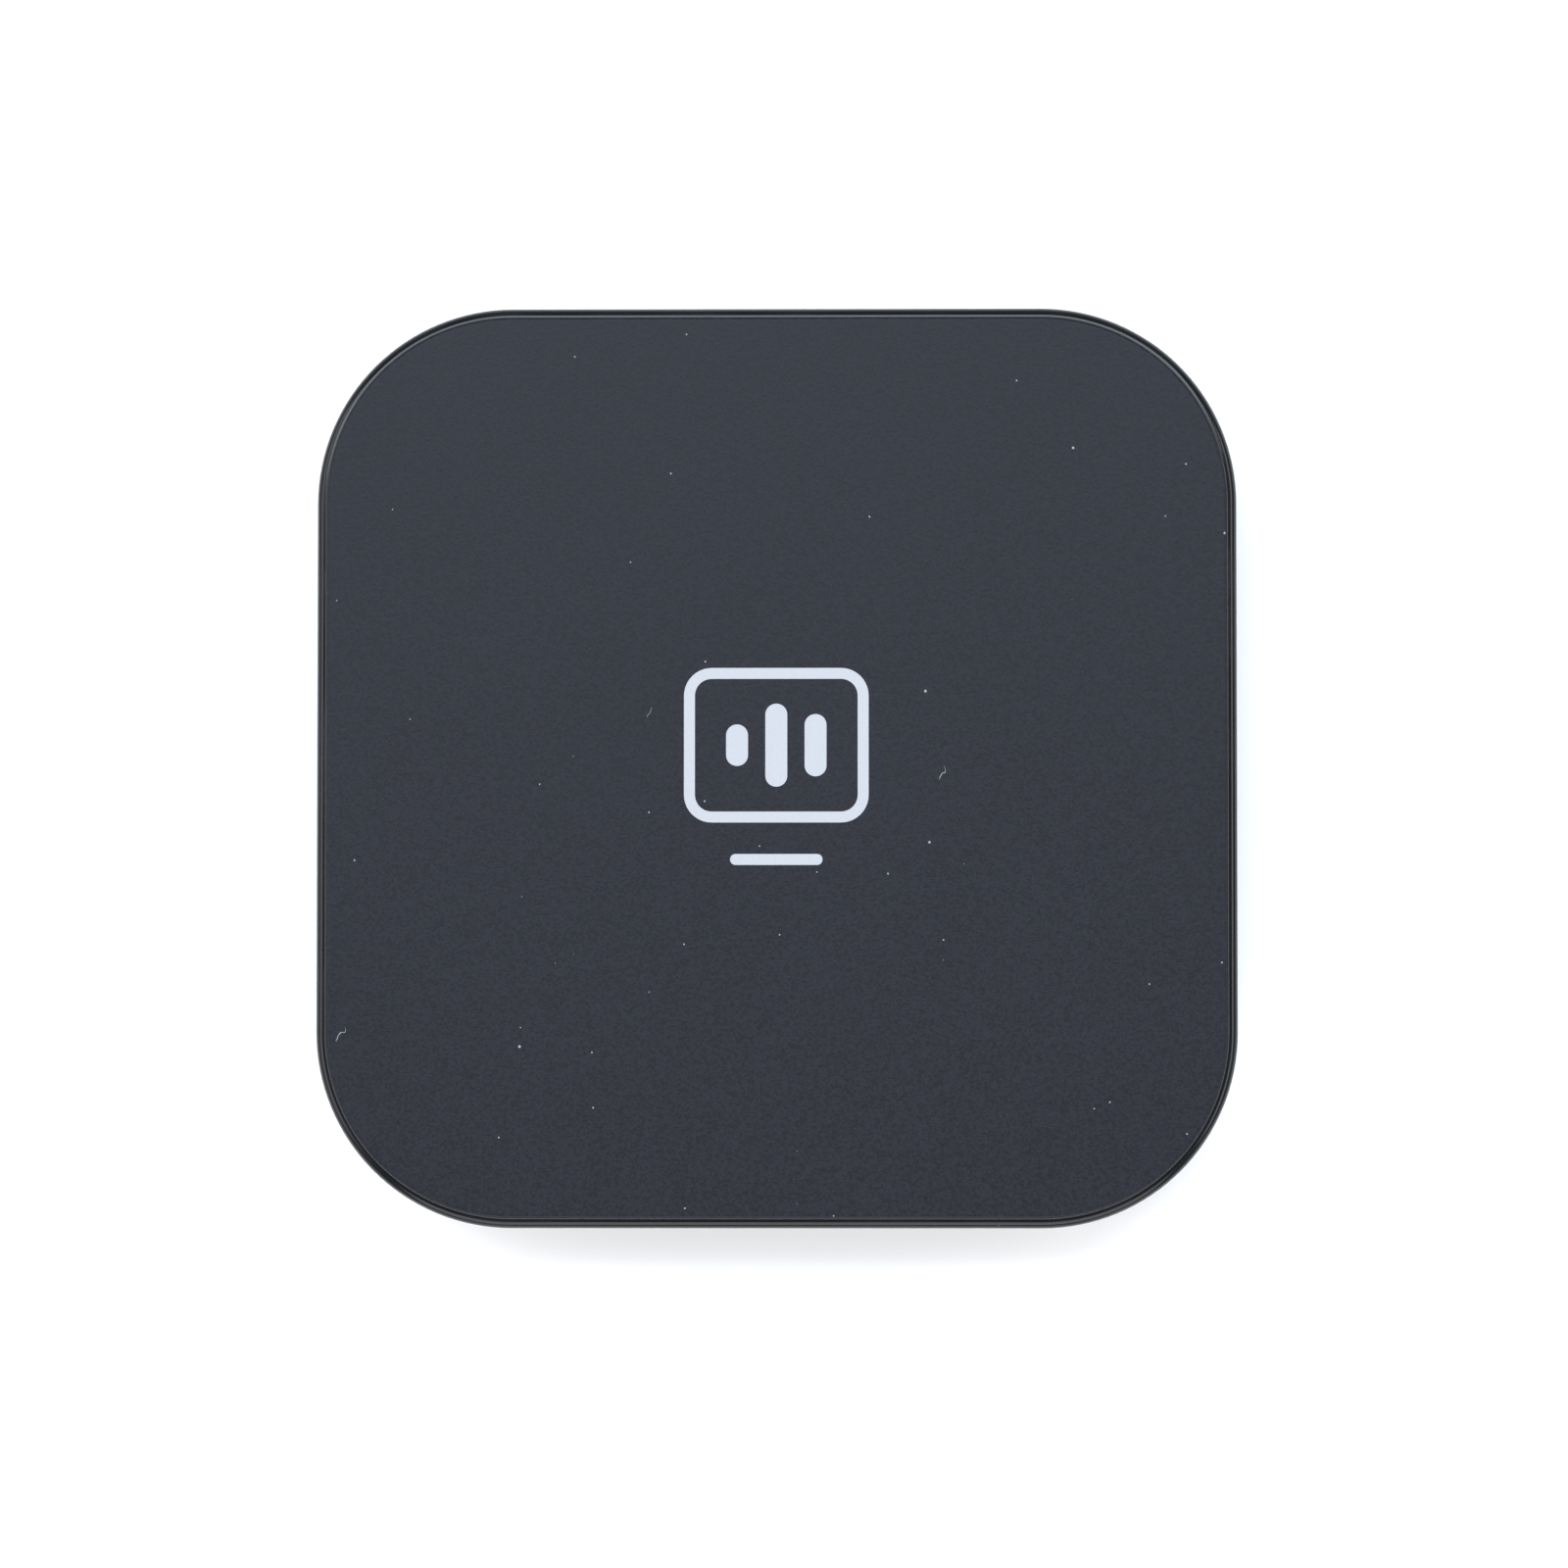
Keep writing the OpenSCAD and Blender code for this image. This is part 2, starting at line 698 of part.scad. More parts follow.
// Flat contacts in a row of count centred on x, with the low corner of the middle one at y, z
module contact_row(x, y, z, count, pitch, size) {
    for (i = [0 : count - 1])
        translate([x + (i - (count - 1) / 2) * pitch - size[0] / 2, y, z]) cube(size);
}

module video_port_contacts() {
    size = [0.5, video_tongue[1] - 0.9, 0.12];
    y = video_back + video_block;
    color("#d9b45a") {
        contact_row(video_x, y, video_tongue_z - video_tongue[2] / 2 - size[2], 10, 1.1, size);
        contact_row(video_x, y, video_tongue_z + video_tongue[2] / 2, 9, 1.1, size);
    }
}

// --- Power connector ---------------------------------------------------------------------------------

module power_port_shell() {
    color("#c2c5c9") {
        difference() {
            along_y(power_x, power_z, power_back, port_face,
                    pill(power_out[0], power_out[1], power_out[1] / 2 - eps));
            along_y(power_x, power_z, power_back + shell_t, port_face + 1,
                    pill(power_in[0], power_in[1], power_in[1] / 2 - eps));
        }
        shell_tabs(power_x, power_out[0] / 2 - shell_t / 2, power_z, [power_back + 0.6, power_back + 4], 1.2);
        block([power_x, power_back + 2.4], board_top,
              [5, 3.6, power_z - power_out[1] / 2 - board_top + shell_t / 2]);
    }
}

module power_port_tongue() {
    w = power_in[0] - 4 * eps;
    h = power_in[1] - 4 * eps;
    color("#1f2022") {
        along_y(power_x, power_z, power_back + shell_t, power_back + power_block, pill(w, h, h / 2 - eps));
        translate([power_x - power_tongue[0] / 2, power_back + power_block - eps,
                   power_z - power_tongue[2] / 2])
            cube(power_tongue);
    }
}

module power_port_contacts() {
    size = [0.28, power_tongue[1] - 0.5, 0.06];
    y = power_back + power_block;
    color("#d9b45a") {
        contact_row(power_x, y, power_z - power_tongue[2] / 2 - size[2], 12, 0.5, size);
        contact_row(power_x, y, power_z + power_tongue[2] / 2, 12, 0.5, size);
    }
}

// --- Card socket --------------------------------------------------------------------------------------

module card_socket_base() {
    wall_h = card_roof - board_top;
    color("#232427") translate([card_back, card_lo, board_top]) {
        cube([card_size[0], card_size[1], card_floor_t]);
        for (y = [0, card_size[1] - rail_t])
            translate([0, y, 0]) cube([card_size[0], rail_t, wall_h]);
        cube([card_back_t, card_size[1], wall_h]);
    }
}

module card_socket_cover() {
    window = [4, 7];
    color("#c0c3c7") difference() {
        translate([card_back, card_lo, card_roof]) cube([card_size[0], card_size[1], card_roof_t]);
        translate([card_back + 3, card_y - window[1] / 2, card_roof - 1]) cube([window[0], window[1], 2]);
    }
}

// Eight spring fingers, each with a raised tip
module card_socket_contacts() {
    finger = [5.5, 0.5, 0.12];
    pitch = 1.1;
    color("#d9b45a") for (i = [0 : 7])
        translate([card_back + 2.5, card_y - 1 + (i - 4) * pitch - finger[1] / 2, board_top + card_floor_t]) {
            cube(finger);
            translate([finger[0] - 0.6, 0, 0]) cube([0.6, finger[1], 0.5]);
        }
}

module card_slider() {
    color("#dcdcd8") translate([slider_x, slider_y - slider_size[1] / 2, slider_z - slider_size[2] / 2]) {
        cube(slider_size);
        translate([0.3, -0.6, 0]) cube([0.8, 0.7, slider_size[2]]);
    }
}

// Coil spring between the socket's back wall and the slider
module card_spring() {
    length = slider_x - 0.1 - spring_x;
    steps = spring_turns * 12;
    coil = [for (i = [0 : steps])
        [spring_x + length * i / steps, slider_y + spring_r * cos(30 * i),
         slider_z + spring_r * sin(30 * i)]];
    color("#a9adb1") tube(coil, spring_wire_r, [1, 0, 0], 6);
}

// --- Reset button and switch --------------------------------------------------------------------------

module reset_button() {
    color("#2a2c2f") {
        rod_y(reset_x, reset_z, flange_y - 0.6, reset_face, reset_r);
        rod_y(reset_x, reset_z, flange_y - 0.6, flange_y, reset_r + 0.6);
        rod_y(reset_x, reset_z, plunger_tip, flange_y - 0.5, 0.9);
    }
}

module switch_plunger() {
    color("#d7d7d2") {
        rod_y(reset_x, reset_z, switch_front - 0.8, plunger_tip, 0.7);
        rod_y(reset_x, reset_z, switch_front - 1.1, switch_front - 0.75, 1);
    }
}

// Snap dome: a shallow cone that bows towards the plunger
module switch_dome() {
    color("#c9b27a") translate([reset_x, dome_y, reset_z]) rotate([-90, 0, 0])
        rotate_extrude() polygon([[0, dome_h - 0.1], [0.6, dome_h - 0.14], [dome_r, 0], [dome_r, 0.1],
                                  [0.6, dome_h - 0.04], [0, dome_h]]);
}

module switch_housing() {
    color("#232426") difference() {
        translate([reset_x - switch_size[0] / 2, switch_front - switch_size[1], board_top]) cube(switch_size);
        rod_y(reset_x, reset_z, dome_y, switch_front - 0.5, dome_r + 0.1);
        rod_y(reset_x, reset_z, dome_y, switch_front + 1, 0.85);
    }
}

// Steel bracket over the switch, with a leg down each side to the board
module switch_bracket() {
    w = switch_size[0] + 2 * bracket_t;
    color("#bfc3c7") difference() {
        translate([reset_x - w / 2, switch_front - 3, board_top]) cube([w, 2.4, switch_size[2] + bracket_t]);
        translate([reset_x - switch_size[0] / 2, switch_front - 4, board_top - 1])
            cube([switch_size[0], 5, switch_size[2] + 1]);
    }
}

// --- Status light -------------------------------------------------------------------------------------

module status_led() {
    color("#e9e6d4") {
        block([0, led_y], board_top, led_size);
        rod_y(0, led_z, led_y - led_size[1] / 2 - 0.3, led_y, 0.7);
    }
}

// Clear rod with a flange behind the side frame's wall
module light_pipe() {
    color("#dfe8ee") {
        rod_y(0, led_z, -half + 0.1, pipe_end, pipe_r);
        rod_y(0, led_z, -half + wall + 2 * eps, pipe_end - 0.4, pipe_r + 0.6);
    }
}

top_cover();
cover_mark();
side_frame();
base_cover();
rubber_feet();
case_screws();
base_label();
main_board();
board_screws();
soc_chip();
memory_chips();
flash_chip();
power_chip();
video_chip();
power_inductors();
bulk_capacitors();
chip_capacitors();
crystal();
shield_can();
inner_thermal_pad();
outer_thermal_pad();
heat_sink();
radio_board();
radio_shield();
antenna_left();
antenna_front();
antenna_sockets();
antenna_plugs();
antenna_cable_left();
antenna_cable_front();
video_port_shell();
video_port_tongue();
video_port_contacts();
power_port_shell();
power_port_tongue();
power_port_contacts();
card_socket_base();
card_socket_cover();
card_socket_contacts();
card_slider();
card_spring();
reset_button();
switch_plunger();
switch_dome();
switch_housing();
switch_bracket();
status_led();
light_pipe();
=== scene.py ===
"""Streaming media player: the finished pieces of a square puck, built round its CAD frame.

A matte slate lid sits on a gloss black side frame over a dark base on four rubber feet. Inside are a circuit
board with its chips, shields, heat sink and radio, and the video, power and card connectors.
Shapes are worked out in millimetres, and meshes are made in metres.
"""

import math
from functools import cache
from types import SimpleNamespace

import bmesh
import bpy
from bpy.props import FloatProperty, FloatVectorProperty, IntProperty, PointerProperty
from mathutils import Matrix, Vector


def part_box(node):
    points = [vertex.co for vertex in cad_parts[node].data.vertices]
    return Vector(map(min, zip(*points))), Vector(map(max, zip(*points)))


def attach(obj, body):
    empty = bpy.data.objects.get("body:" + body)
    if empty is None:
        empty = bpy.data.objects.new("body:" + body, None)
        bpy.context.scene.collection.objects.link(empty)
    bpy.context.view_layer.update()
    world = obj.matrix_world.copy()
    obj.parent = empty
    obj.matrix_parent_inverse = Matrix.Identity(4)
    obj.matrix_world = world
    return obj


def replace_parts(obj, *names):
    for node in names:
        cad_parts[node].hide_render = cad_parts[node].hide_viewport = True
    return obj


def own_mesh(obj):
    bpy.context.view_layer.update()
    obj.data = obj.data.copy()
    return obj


bl_info = {
    "name": "Streaming Media Player",
    "version": (1, 0, 0),
    "blender": (4, 5, 0),
    "location": "3D View > Sidebar > Media Player",
    "description": "Builds the finished pieces of a square streaming box round its CAD frame",
    "category": "Object",
}

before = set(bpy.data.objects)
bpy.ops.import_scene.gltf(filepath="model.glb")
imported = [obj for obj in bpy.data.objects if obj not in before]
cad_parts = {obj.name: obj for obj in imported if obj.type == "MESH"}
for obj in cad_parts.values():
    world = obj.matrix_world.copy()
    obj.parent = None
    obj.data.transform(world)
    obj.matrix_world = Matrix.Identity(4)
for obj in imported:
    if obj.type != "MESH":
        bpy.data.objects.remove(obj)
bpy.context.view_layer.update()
MM = 0.001
X, Y, Z = Vector((1, 0, 0)), Vector((0, 1, 0)), Vector((0, 0, 1))


def low(node):
    """Lowest corner of a CAD node, in millimetres."""
    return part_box(node)[0] / MM


def high(node):
    """Highest corner of a CAD node, in millimetres."""
    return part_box(node)[1] / MM


def middle(node):
    """Centre of a CAD node's box, in millimetres."""
    return (low(node) + high(node)) / 2


def merged(node):
    """A bmesh of a CAD node's triangles, with their shared points merged."""
    made = bmesh.new()
    made.from_mesh(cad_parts[node].data)
    bmesh.ops.remove_doubles(made, verts=made.verts, dist=1e-6)
    return made


def islands(node):
    """The lowest and highest corner of each separate solid in a CAD node, in millimetres."""
    made = merged(node)
    boxes, seen = [], set()
    for first in made.verts:
        if first in seen:
            continue
        seen.add(first)
        waiting, points = [first], []
        while waiting:
            vert = waiting.pop()
            points.append(vert.co / MM)
            near = {edge.other_vert(vert) for edge in vert.link_edges} - seen
            seen |= near
            waiting.extend(near)
        boxes.append((Vector(map(min, zip(*points))), Vector(map(max, zip(*points)))))
    made.free()
    return sorted(boxes, key=lambda box: tuple(round(value, 4) for value in box[0]))


def one_size(node):
    """The size of one of a CAD node's equal solids, in millimetres."""
    lo, hi = islands(node)[0]
    return hi - lo


def centres(node):
    """The centre of each separate solid in a CAD node, in millimetres."""
    return [(lo + hi) / 2 for lo, hi in islands(node)]


# --- Settings -----------------------------------------------------------------------------------------


def length(name, description, millimetres):
    """A length property, with its default in millimetres."""
    return FloatProperty(name=name, description=description, default=millimetres * MM, min=0, unit="LENGTH",
                         precision=5)


def colour(name, description, red, green, blue):
    """A colour property, in linear values."""
    return FloatVectorProperty(name=name, description=description, default=(red, green, blue), min=0, max=1,
                               subtype="COLOR")


class CaseSettings(bpy.types.PropertyGroup):
    """Sizes of the lid, the side frame and the base."""
    corner_radius: length("Corner radius", "Radius of the case's corners in plan", 17)
    wall: length("Wall", "Thickness of the side frame", 2.2)
    lip_gap: length("Lip gap", "Room between the side frame and the lips inside it", 0.2)
    lip: length("Lip", "Thickness of the lips of the lid and the base", 1.2)
    lid_edge: length("Lid edge", "Rounding of the lid's top edge", 0.4)
    frame_edge: length("Frame edge", "Rounding of the side frame's outer edges", 0.8)
    base_edge: length("Base edge", "Rounding of the base's lower edge", 2.5)
    lid_plate: length("Lid plate", "Thickness of the lid's flat plate", 1.6)
    skirt: length("Skirt", "How far the lid's skirt reaches down inside the side frame", 1.9)
    seam_height: length("Seam height", "Height of the seam between the base and the side frame", 4.7)
    floor: length("Floor", "Thickness of the base's floor", 1.6)
    seam: length("Seam", "Easing of the edges that meet at the seams", 0.12)
    corner_steps: IntProperty(name="Corner steps", description="Facets in each corner of the case",
                              default=32, min=8, max=64)


class VentSettings(bpy.types.PropertyGroup):
    """The air slots under the base."""
    columns: IntProperty(name="Columns", description="Air slots in each row", default=13, min=1, max=15)
    rows: IntProperty(name="Rows", description="Rows of air slots", default=2, min=1, max=2)
    pitch: length("Pitch", "Distance from slot to slot", 3)
    row_pitch: length("Row pitch", "Distance from row to row", 20)
    width: length("Width", "Width of a slot", 1.38)
    run: length("Length", "Length of a slot", 16)
    middle: length("Middle", "Distance of the slots' middle behind the case's centre", 6)


class MarkSettings(bpy.types.PropertyGroup):
    """The pictogram on the lid."""
    width: length("Width", "Width of the screen outline", 16)
    height: length("Height", "Height of the screen outline", 13.4)
    stroke: length("Stroke", "Width of the strokes", 0.95)
    radius: length("Radius", "Corner radius of the screen outline", 2.4)
    drop: length("Drop", "Distance of the stand line below the screen outline", 3.2)
    bar: length("Bar", "Height of the tallest level bar", 7.2)
    ink: length("Ink", "Thickness of the printed ink", 0.012)


class FinishSettings(bpy.types.PropertyGroup):
    """Colours of the finishes, and the lid's grain and dust."""
    lid: colour("Lid", "Matte slate plastic of the lid", 0.0092, 0.0098, 0.0140)
    mark: colour("Mark", "Printed pictogram", 0.375, 0.388, 0.41)
    gloss: colour("Side frame", "Gloss black plastic of the side frame", 0.005, 0.0052, 0.0065)
    base: colour("Base", "Textured black plastic of the base", 0.012, 0.0125, 0.0135)
    rubber: colour("Feet", "Rubber of the feet", 0.028, 0.028, 0.029)
    mask: colour("Solder mask", "Solder mask of the circuit boards", 0.006, 0.05, 0.03)
    steel: colour("Steel", "Plated sheet steel", 0.56, 0.57, 0.58)
    gold: colour("Gold", "Gold plating", 0.83, 0.6, 0.24)
    grain: FloatProperty(name="Grain", description="Strength of the lid's fine grain", default=0.4, min=0,
                         max=1, subtype="FACTOR")
    dust: FloatProperty(name="Dust", description="Share of the lid's patches that hold a speck of dust",
                        default=0.2, min=0, max=1, subtype="FACTOR")


class StageSettings(bpy.types.PropertyGroup):
    """The camera, the lights and the floor."""
    distance: length("Camera distance", "Distance from the camera to the lid", 500)
    tilt: FloatProperty(name="Tilt", description="Lean of the view towards the front",
                        default=math.radians(2.2), subtype="ANGLE")
    side_tilt: FloatProperty(name="Side tilt", description="Lean of the view towards the right",
                             default=math.radians(0.8), subtype="ANGLE")
    aim_right: length("Aim right", "How far right of the case's centre the camera aims", 0.64)
    aim_front: length("Aim front", "How far in front of the case's centre the camera aims", 1.45)
    aim_height: length("Aim height", "Height that the camera aims at", 14)
    fill: FloatProperty(name="Fill", description="Share of the picture's width that the case fills",
                        default=0.5869, min=0.1, max=1, subtype="FACTOR")
    light: FloatProperty(name="Light", description="Power of the main softbox", default=14, min=0,
                         unit="POWER")
    floor: colour("Floor", "Pale floor", 0.92, 0.92, 0.92)


class PlayerSettings(bpy.types.PropertyGroup):
    """All of the player's settings."""
    case: PointerProperty(type=CaseSettings)
    vents: PointerProperty(type=VentSettings)
    mark: PointerProperty(type=MarkSettings)
    finish: PointerProperty(type=FinishSettings)
    stage: PointerProperty(type=StageSettings)


def settings():
    """The player's settings in the open scene."""
    return bpy.context.scene.media_player


def sizes(name):
    """The values of a group of settings, with its lengths in millimetres."""
    group, made = getattr(settings(), name), SimpleNamespace()
    for prop in group.bl_rna.properties:
        if prop.type in ("FLOAT", "INT"):
            value = getattr(group, prop.identifier)
            is_length = prop.type == "FLOAT" and prop.unit == "LENGTH"
            setattr(made, prop.identifier, value / MM if is_length else value)
    return made


# --- Outlines and solids, in millimetres -------------------------------------------------------------

# The axes of each face of the case as its viewer sees them: right, up and out
FACES = {"top": (X, Y, Z), "under": (-X, Y, -Z), "front": (X, Z, -Y), "rear": (-X, Z, Y),
         "right": (Y, Z, X), "left": (-Y, Z, -X)}


def arc(u, v, radius, start, end, steps=6):
    """Points on an arc about u, v, from one angle to another in degrees."""
    turns = [math.radians(start + (end - start) * i / steps) for i in range(steps + 1)]
    return [(u + radius * math.cos(turn), v + radius * math.sin(turn)) for turn in turns]


def circle(radius, steps=48):
    """Outline of a circle about the origin."""
    return arc(0, 0, radius, 0, 360, steps)[:-1]


def rounded(width, height, radius, steps=6):
    """Outline of a rectangle with round corners."""
    u, v = width / 2 - radius, height / 2 - radius
    corners = [(u, v), (-u, v), (-u, -v), (u, -v)]
    return [point for i, (a, b) in enumerate(corners)
            for point in arc(a, b, radius, 90 * i, 90 * i + 90, steps)]


def growing(width, height, radius, steps=6):
    """The outline of a round-cornered rectangle, as a function of how far it is grown all round."""
    return lambda grow: rounded(width + 2 * grow, height + 2 * grow, radius + grow, steps)


def filleted(corners, radius, steps=4):
    """Outline with each of its corners rounded by a quadratic curve."""
    outline = []
    for i, corner in enumerate(corners):
        here = Vector(corner)
        before, after = (Vector(corners[j % len(corners)]) - here for j in (i - 1, i + 1))
        a, b = here + before.normalized() * radius, here + after.normalized() * radius
        for step in range(steps + 1):
            t = step / steps
            outline.append(tuple(a * (1 - t) ** 2 + here * 2 * t * (1 - t) + b * t ** 2))
    return outline


def skin(rings, closed):
    """Points and faces over equal rings, which run anticlockwise about the way that they advance."""
    count = len(rings[0])
    points = [Vector(point) for ring in rings for point in ring]
    pairs = list(range(len(rings))) + [0] if closed else range(len(rings))
    faces = []
    for a, b in zip(pairs, list(pairs)[1:]):
        for k in range(count):
            n = (k + 1) % count
            faces.append((a * count + k, a * count + n, b * count + n, b * count + k))
    if not closed:
        last = (len(rings) - 1) * count
        faces += [tuple(reversed(range(count))), tuple(last + k for k in range(count))]
    return points, faces


def solid(face, centre, stations, closed=False):
    """A solid over (outline, depth) stations, where depth runs out of the named face."""
    right, up, out = FACES[face]
    return skin([[Vector(centre) + right * u + up * v + out * depth for u, v in outline]
                 for outline, depth in stations], closed)


def turned(face, centre, profile, steps=48):
    """A solid of revolution over (radius, depth) pairs."""
    return solid(face, centre, [(circle(radius, steps), depth) for radius, depth in profile])


def turned_at(spots, profile, steps=40):
    """Solids of revolution that stand at several spots in plan."""
    return joined(turned("top", (spot.x, spot.y, 0), profile, steps) for spot in spots)


def slab(face, centre, outline, start, end, ease, steps=3):
    """A slab between two depths with eased rims. outline(grow) gives its outline."""
    rim = arc(-ease, ease, ease, -90, 0, steps)
    stations = [(outline(u), start + v) for u, v in rim]
    stations += [(outline(u), end - v) for u, v in reversed(rim)]
    return solid(face, centre, stations)


def mouth(face, centre, outline, inside, surface, flare, fillet=0.0, steps=4):
    """A cutter for an opening whose rim is rounded at the surface, and its floor filleted if it has one."""
    stations = [(outline(0), inside)]
    if fillet:
        stations = [(outline(u - fillet), inside + fillet + v) for u, v in arc(0, 0, fillet, -90, 0, steps)]
    stations += [(outline(flare - u), surface - flare + v) for u, v in arc(0, 0, flare, 0, 90, steps)]
    return solid(face, centre, stations + [(outline(flare), surface + 1)])


def joined(solids):
    """Several solids as one list of points and one of faces."""
    points, faces = [], []
    for more_points, more_faces in solids:
        faces += [tuple(index + len(points) for index in face) for face in more_faces]
        points += more_points
    return points, faces


def block(low_corner, high_corner, ease=0.1, steps=2):
    """A box between two corners with rounded edges."""
    size = Vector(high_corner) - Vector(low_corner)
    centre = Vector(low_corner) + size / 2
    outline = growing(size.x, size.y, 1.2 * ease, steps)
    return slab("top", (centre.x, centre.y, 0), outline, low_corner[2], high_corner[2], ease, steps)


def corner_centre():
    """How far the centres of the case's corners stand from its middle planes."""
    return high("side_frame").x - sizes("case").corner_radius


def case_shell(profile, closed=False):
    """A skin round the case. A profile point is a distance out from the corners' centres, and a height."""
    steps, stations = sizes("case").corner_steps, []
    for reach, height in profile:
        side = 2 * (corner_centre() + reach)
        stations.append((rounded(side, side, reach, steps), height))
    return solid("top", (0, 0, 0), stations, closed)


# --- Objects ------------------------------------------------------------------------------------------


def new_object(name, data):
    """A new object in the scene: a mesh, a light or a camera."""
    made = bpy.data.objects.new(name, data)
    bpy.context.scene.collection.objects.link(made)
    return made


def new_piece(name, shape):
    """An object over a shape's points, which are in millimetres."""
    points, faces = shape
    mesh = bpy.data.meshes.new(name)
    mesh.from_pydata([point * MM for point in points], [], faces)
    if mesh.validate():
        raise RuntimeError(f"{name} has broken faces")
    return new_object(name, mesh)


def baked(piece):
    """Makes a piece's modifiers part of its mesh."""
    deps = bpy.context.evaluated_depsgraph_get()
    made = bpy.data.meshes.new_from_object(piece.evaluated_get(deps), preserve_all_data_layers=True,
                                           depsgraph=deps)
    if not made.polygons:
        raise RuntimeError(f"{piece.name} came out empty")
    piece.modifiers.clear()
    piece.data = made
    return piece


def carved(piece, shape, operation="DIFFERENCE"):
    """Cuts a shape out of a piece, or joins it on."""
    tool = new_piece("tool", shape)
    modifier = piece.modifiers.new("Carve", "BOOLEAN")
    modifier.operation = operation
    modifier.solver = "EXACT"
    modifier.object = tool
    baked(piece)
    bpy.data.objects.remove(tool)
    return piece


def eased(piece, width, segments=2):
    """Rounds a piece's sharp edges by a width in millimetres."""
    modifier = piece.modifiers.new("Ease", "BEVEL")
    modifier.width = width * MM
    modifier.segments = segments
    modifier.limit_method = "ANGLE"
    modifier.angle_limit = math.radians(40)
    modifier.use_clamp_overlap = True
    return baked(piece)


def shaded(piece, angle=35):
    """Smooth shading that keeps flat faces flat and edges over an angle sharp."""
    mesh = piece.data
    mesh.polygons.foreach_set("use_smooth", [True] * len(mesh.polygons))
    mesh.set_sharp_from_angle(angle=math.radians(angle))
    modifier = piece.modifiers.new("Normals", "WEIGHTED_NORMAL")
    modifier.keep_sharp = True
    return baked(piece)


def settled(piece, finish, *nodes, body="case"):
    """Gives a piece its finish and its body, and lets it stand for its CAD nodes."""
    piece.data.materials.clear()
    piece.data.materials.append(material(finish))
    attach(piece, body)
    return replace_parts(piece, *nodes)


def refined(name, node, finish, ease, body="case"):
    """A piece of a CAD node's own shape with its edges eased."""
    mesh = bpy.data.meshes.new(name)
    made = merged(node)
    bmesh.ops.dissolve_limit(made, angle_limit=math.radians(1), verts=made.verts, edges=made.edges)
    made.to_mesh(mesh)
    made.free()
    piece = shaded(eased(new_object(name, mesh), ease))
    return settled(piece, finish, node, body=body)


# --- Geometry node trees ------------------------------------------------------------------------------


class Tree:
    """A geometry node tree under construction, with named inputs."""

    def __init__(self, name, inputs):
        self.tree = bpy.data.node_groups.new(name, "GeometryNodeTree")
        sockets = self.tree.interface
        self.names = {label: sockets.new_socket(label, in_out="INPUT", socket_type=kind).identifier
                      for label, kind in inputs.items()}
        sockets.new_socket("Geometry", in_out="OUTPUT", socket_type="NodeSocketGeometry")
        self.source = self.tree.nodes.new("NodeGroupInput")

    def input(self, label):
        return self.source.outputs[label]

    def node(self, kind, settings=(), inputs=(), out=0):
        """Adds a node: its settings first, then its sockets' values or links."""
        made = self.tree.nodes.new(kind)
        for key, value in dict(settings).items():
            setattr(made, key, value)
        for key, value in dict(inputs).items():
            if isinstance(value, bpy.types.NodeSocket):
                self.tree.links.new(value, made.inputs[key])
            else:
                made.inputs[key].default_value = value
        return made.outputs[out]

    def math(self, operation, *values):
        return self.node("ShaderNodeMath", {"operation": operation}, dict(enumerate(values)))

    def vector(self, x=0.0, y=0.0, z=0.0):
        return self.node("ShaderNodeCombineXYZ", {}, {"X": x, "Y": y, "Z": z})

    def ends_in(self, geometry):
        """Ends the tree in real geometry with its material."""
        real = self.node("GeometryNodeRealizeInstances", {}, {"Geometry": geometry})
        done = self.node("GeometryNodeSetMaterial", {}, {"Geometry": real, "Material": self.input("Finish")})
        output = self.tree.nodes.new("NodeGroupOutput")
        self.tree.links.new(done, output.inputs["Geometry"])
        return self

    def on(self, piece, **values):
        """Runs the tree on a piece and leaves a plain mesh."""
        modifier = piece.modifiers.new("Tree", "NODES")
        modifier.node_group = self.tree
        for label, value in values.items():
            modifier[self.names[label.replace("_", " ")]] = value
        return baked(piece)


@cache
def parts_tree():
    """Puts a copy of a part at each point of the mesh it runs on, turned by the point's own turn."""
    tree = Tree("Parts at places", {"Places": "NodeSocketGeometry", "Part": "NodeSocketObject",
                                    "Random turn": "NodeSocketFloat", "Seed": "NodeSocketInt",
                                    "Finish": "NodeSocketMaterial"})
    part = tree.node("GeometryNodeObjectInfo", {}, {"Object": tree.input("Part")}, out="Geometry")
    chance = tree.node("FunctionNodeRandomValue", {"data_type": "FLOAT"},
                       {2: 0.0, 3: tree.input("Random turn"), "Seed": tree.input("Seed")}, out=1)
    own = tree.node("GeometryNodeInputNamedAttribute", {"data_type": "FLOAT"}, {"Name": "turn"})
    turn = tree.math("ADD", chance, own)
    placed = tree.node("GeometryNodeInstanceOnPoints", {}, {
        "Points": tree.input("Places"), "Instance": part, "Rotation": tree.vector(z=turn)})
    return tree.ends_in(placed)


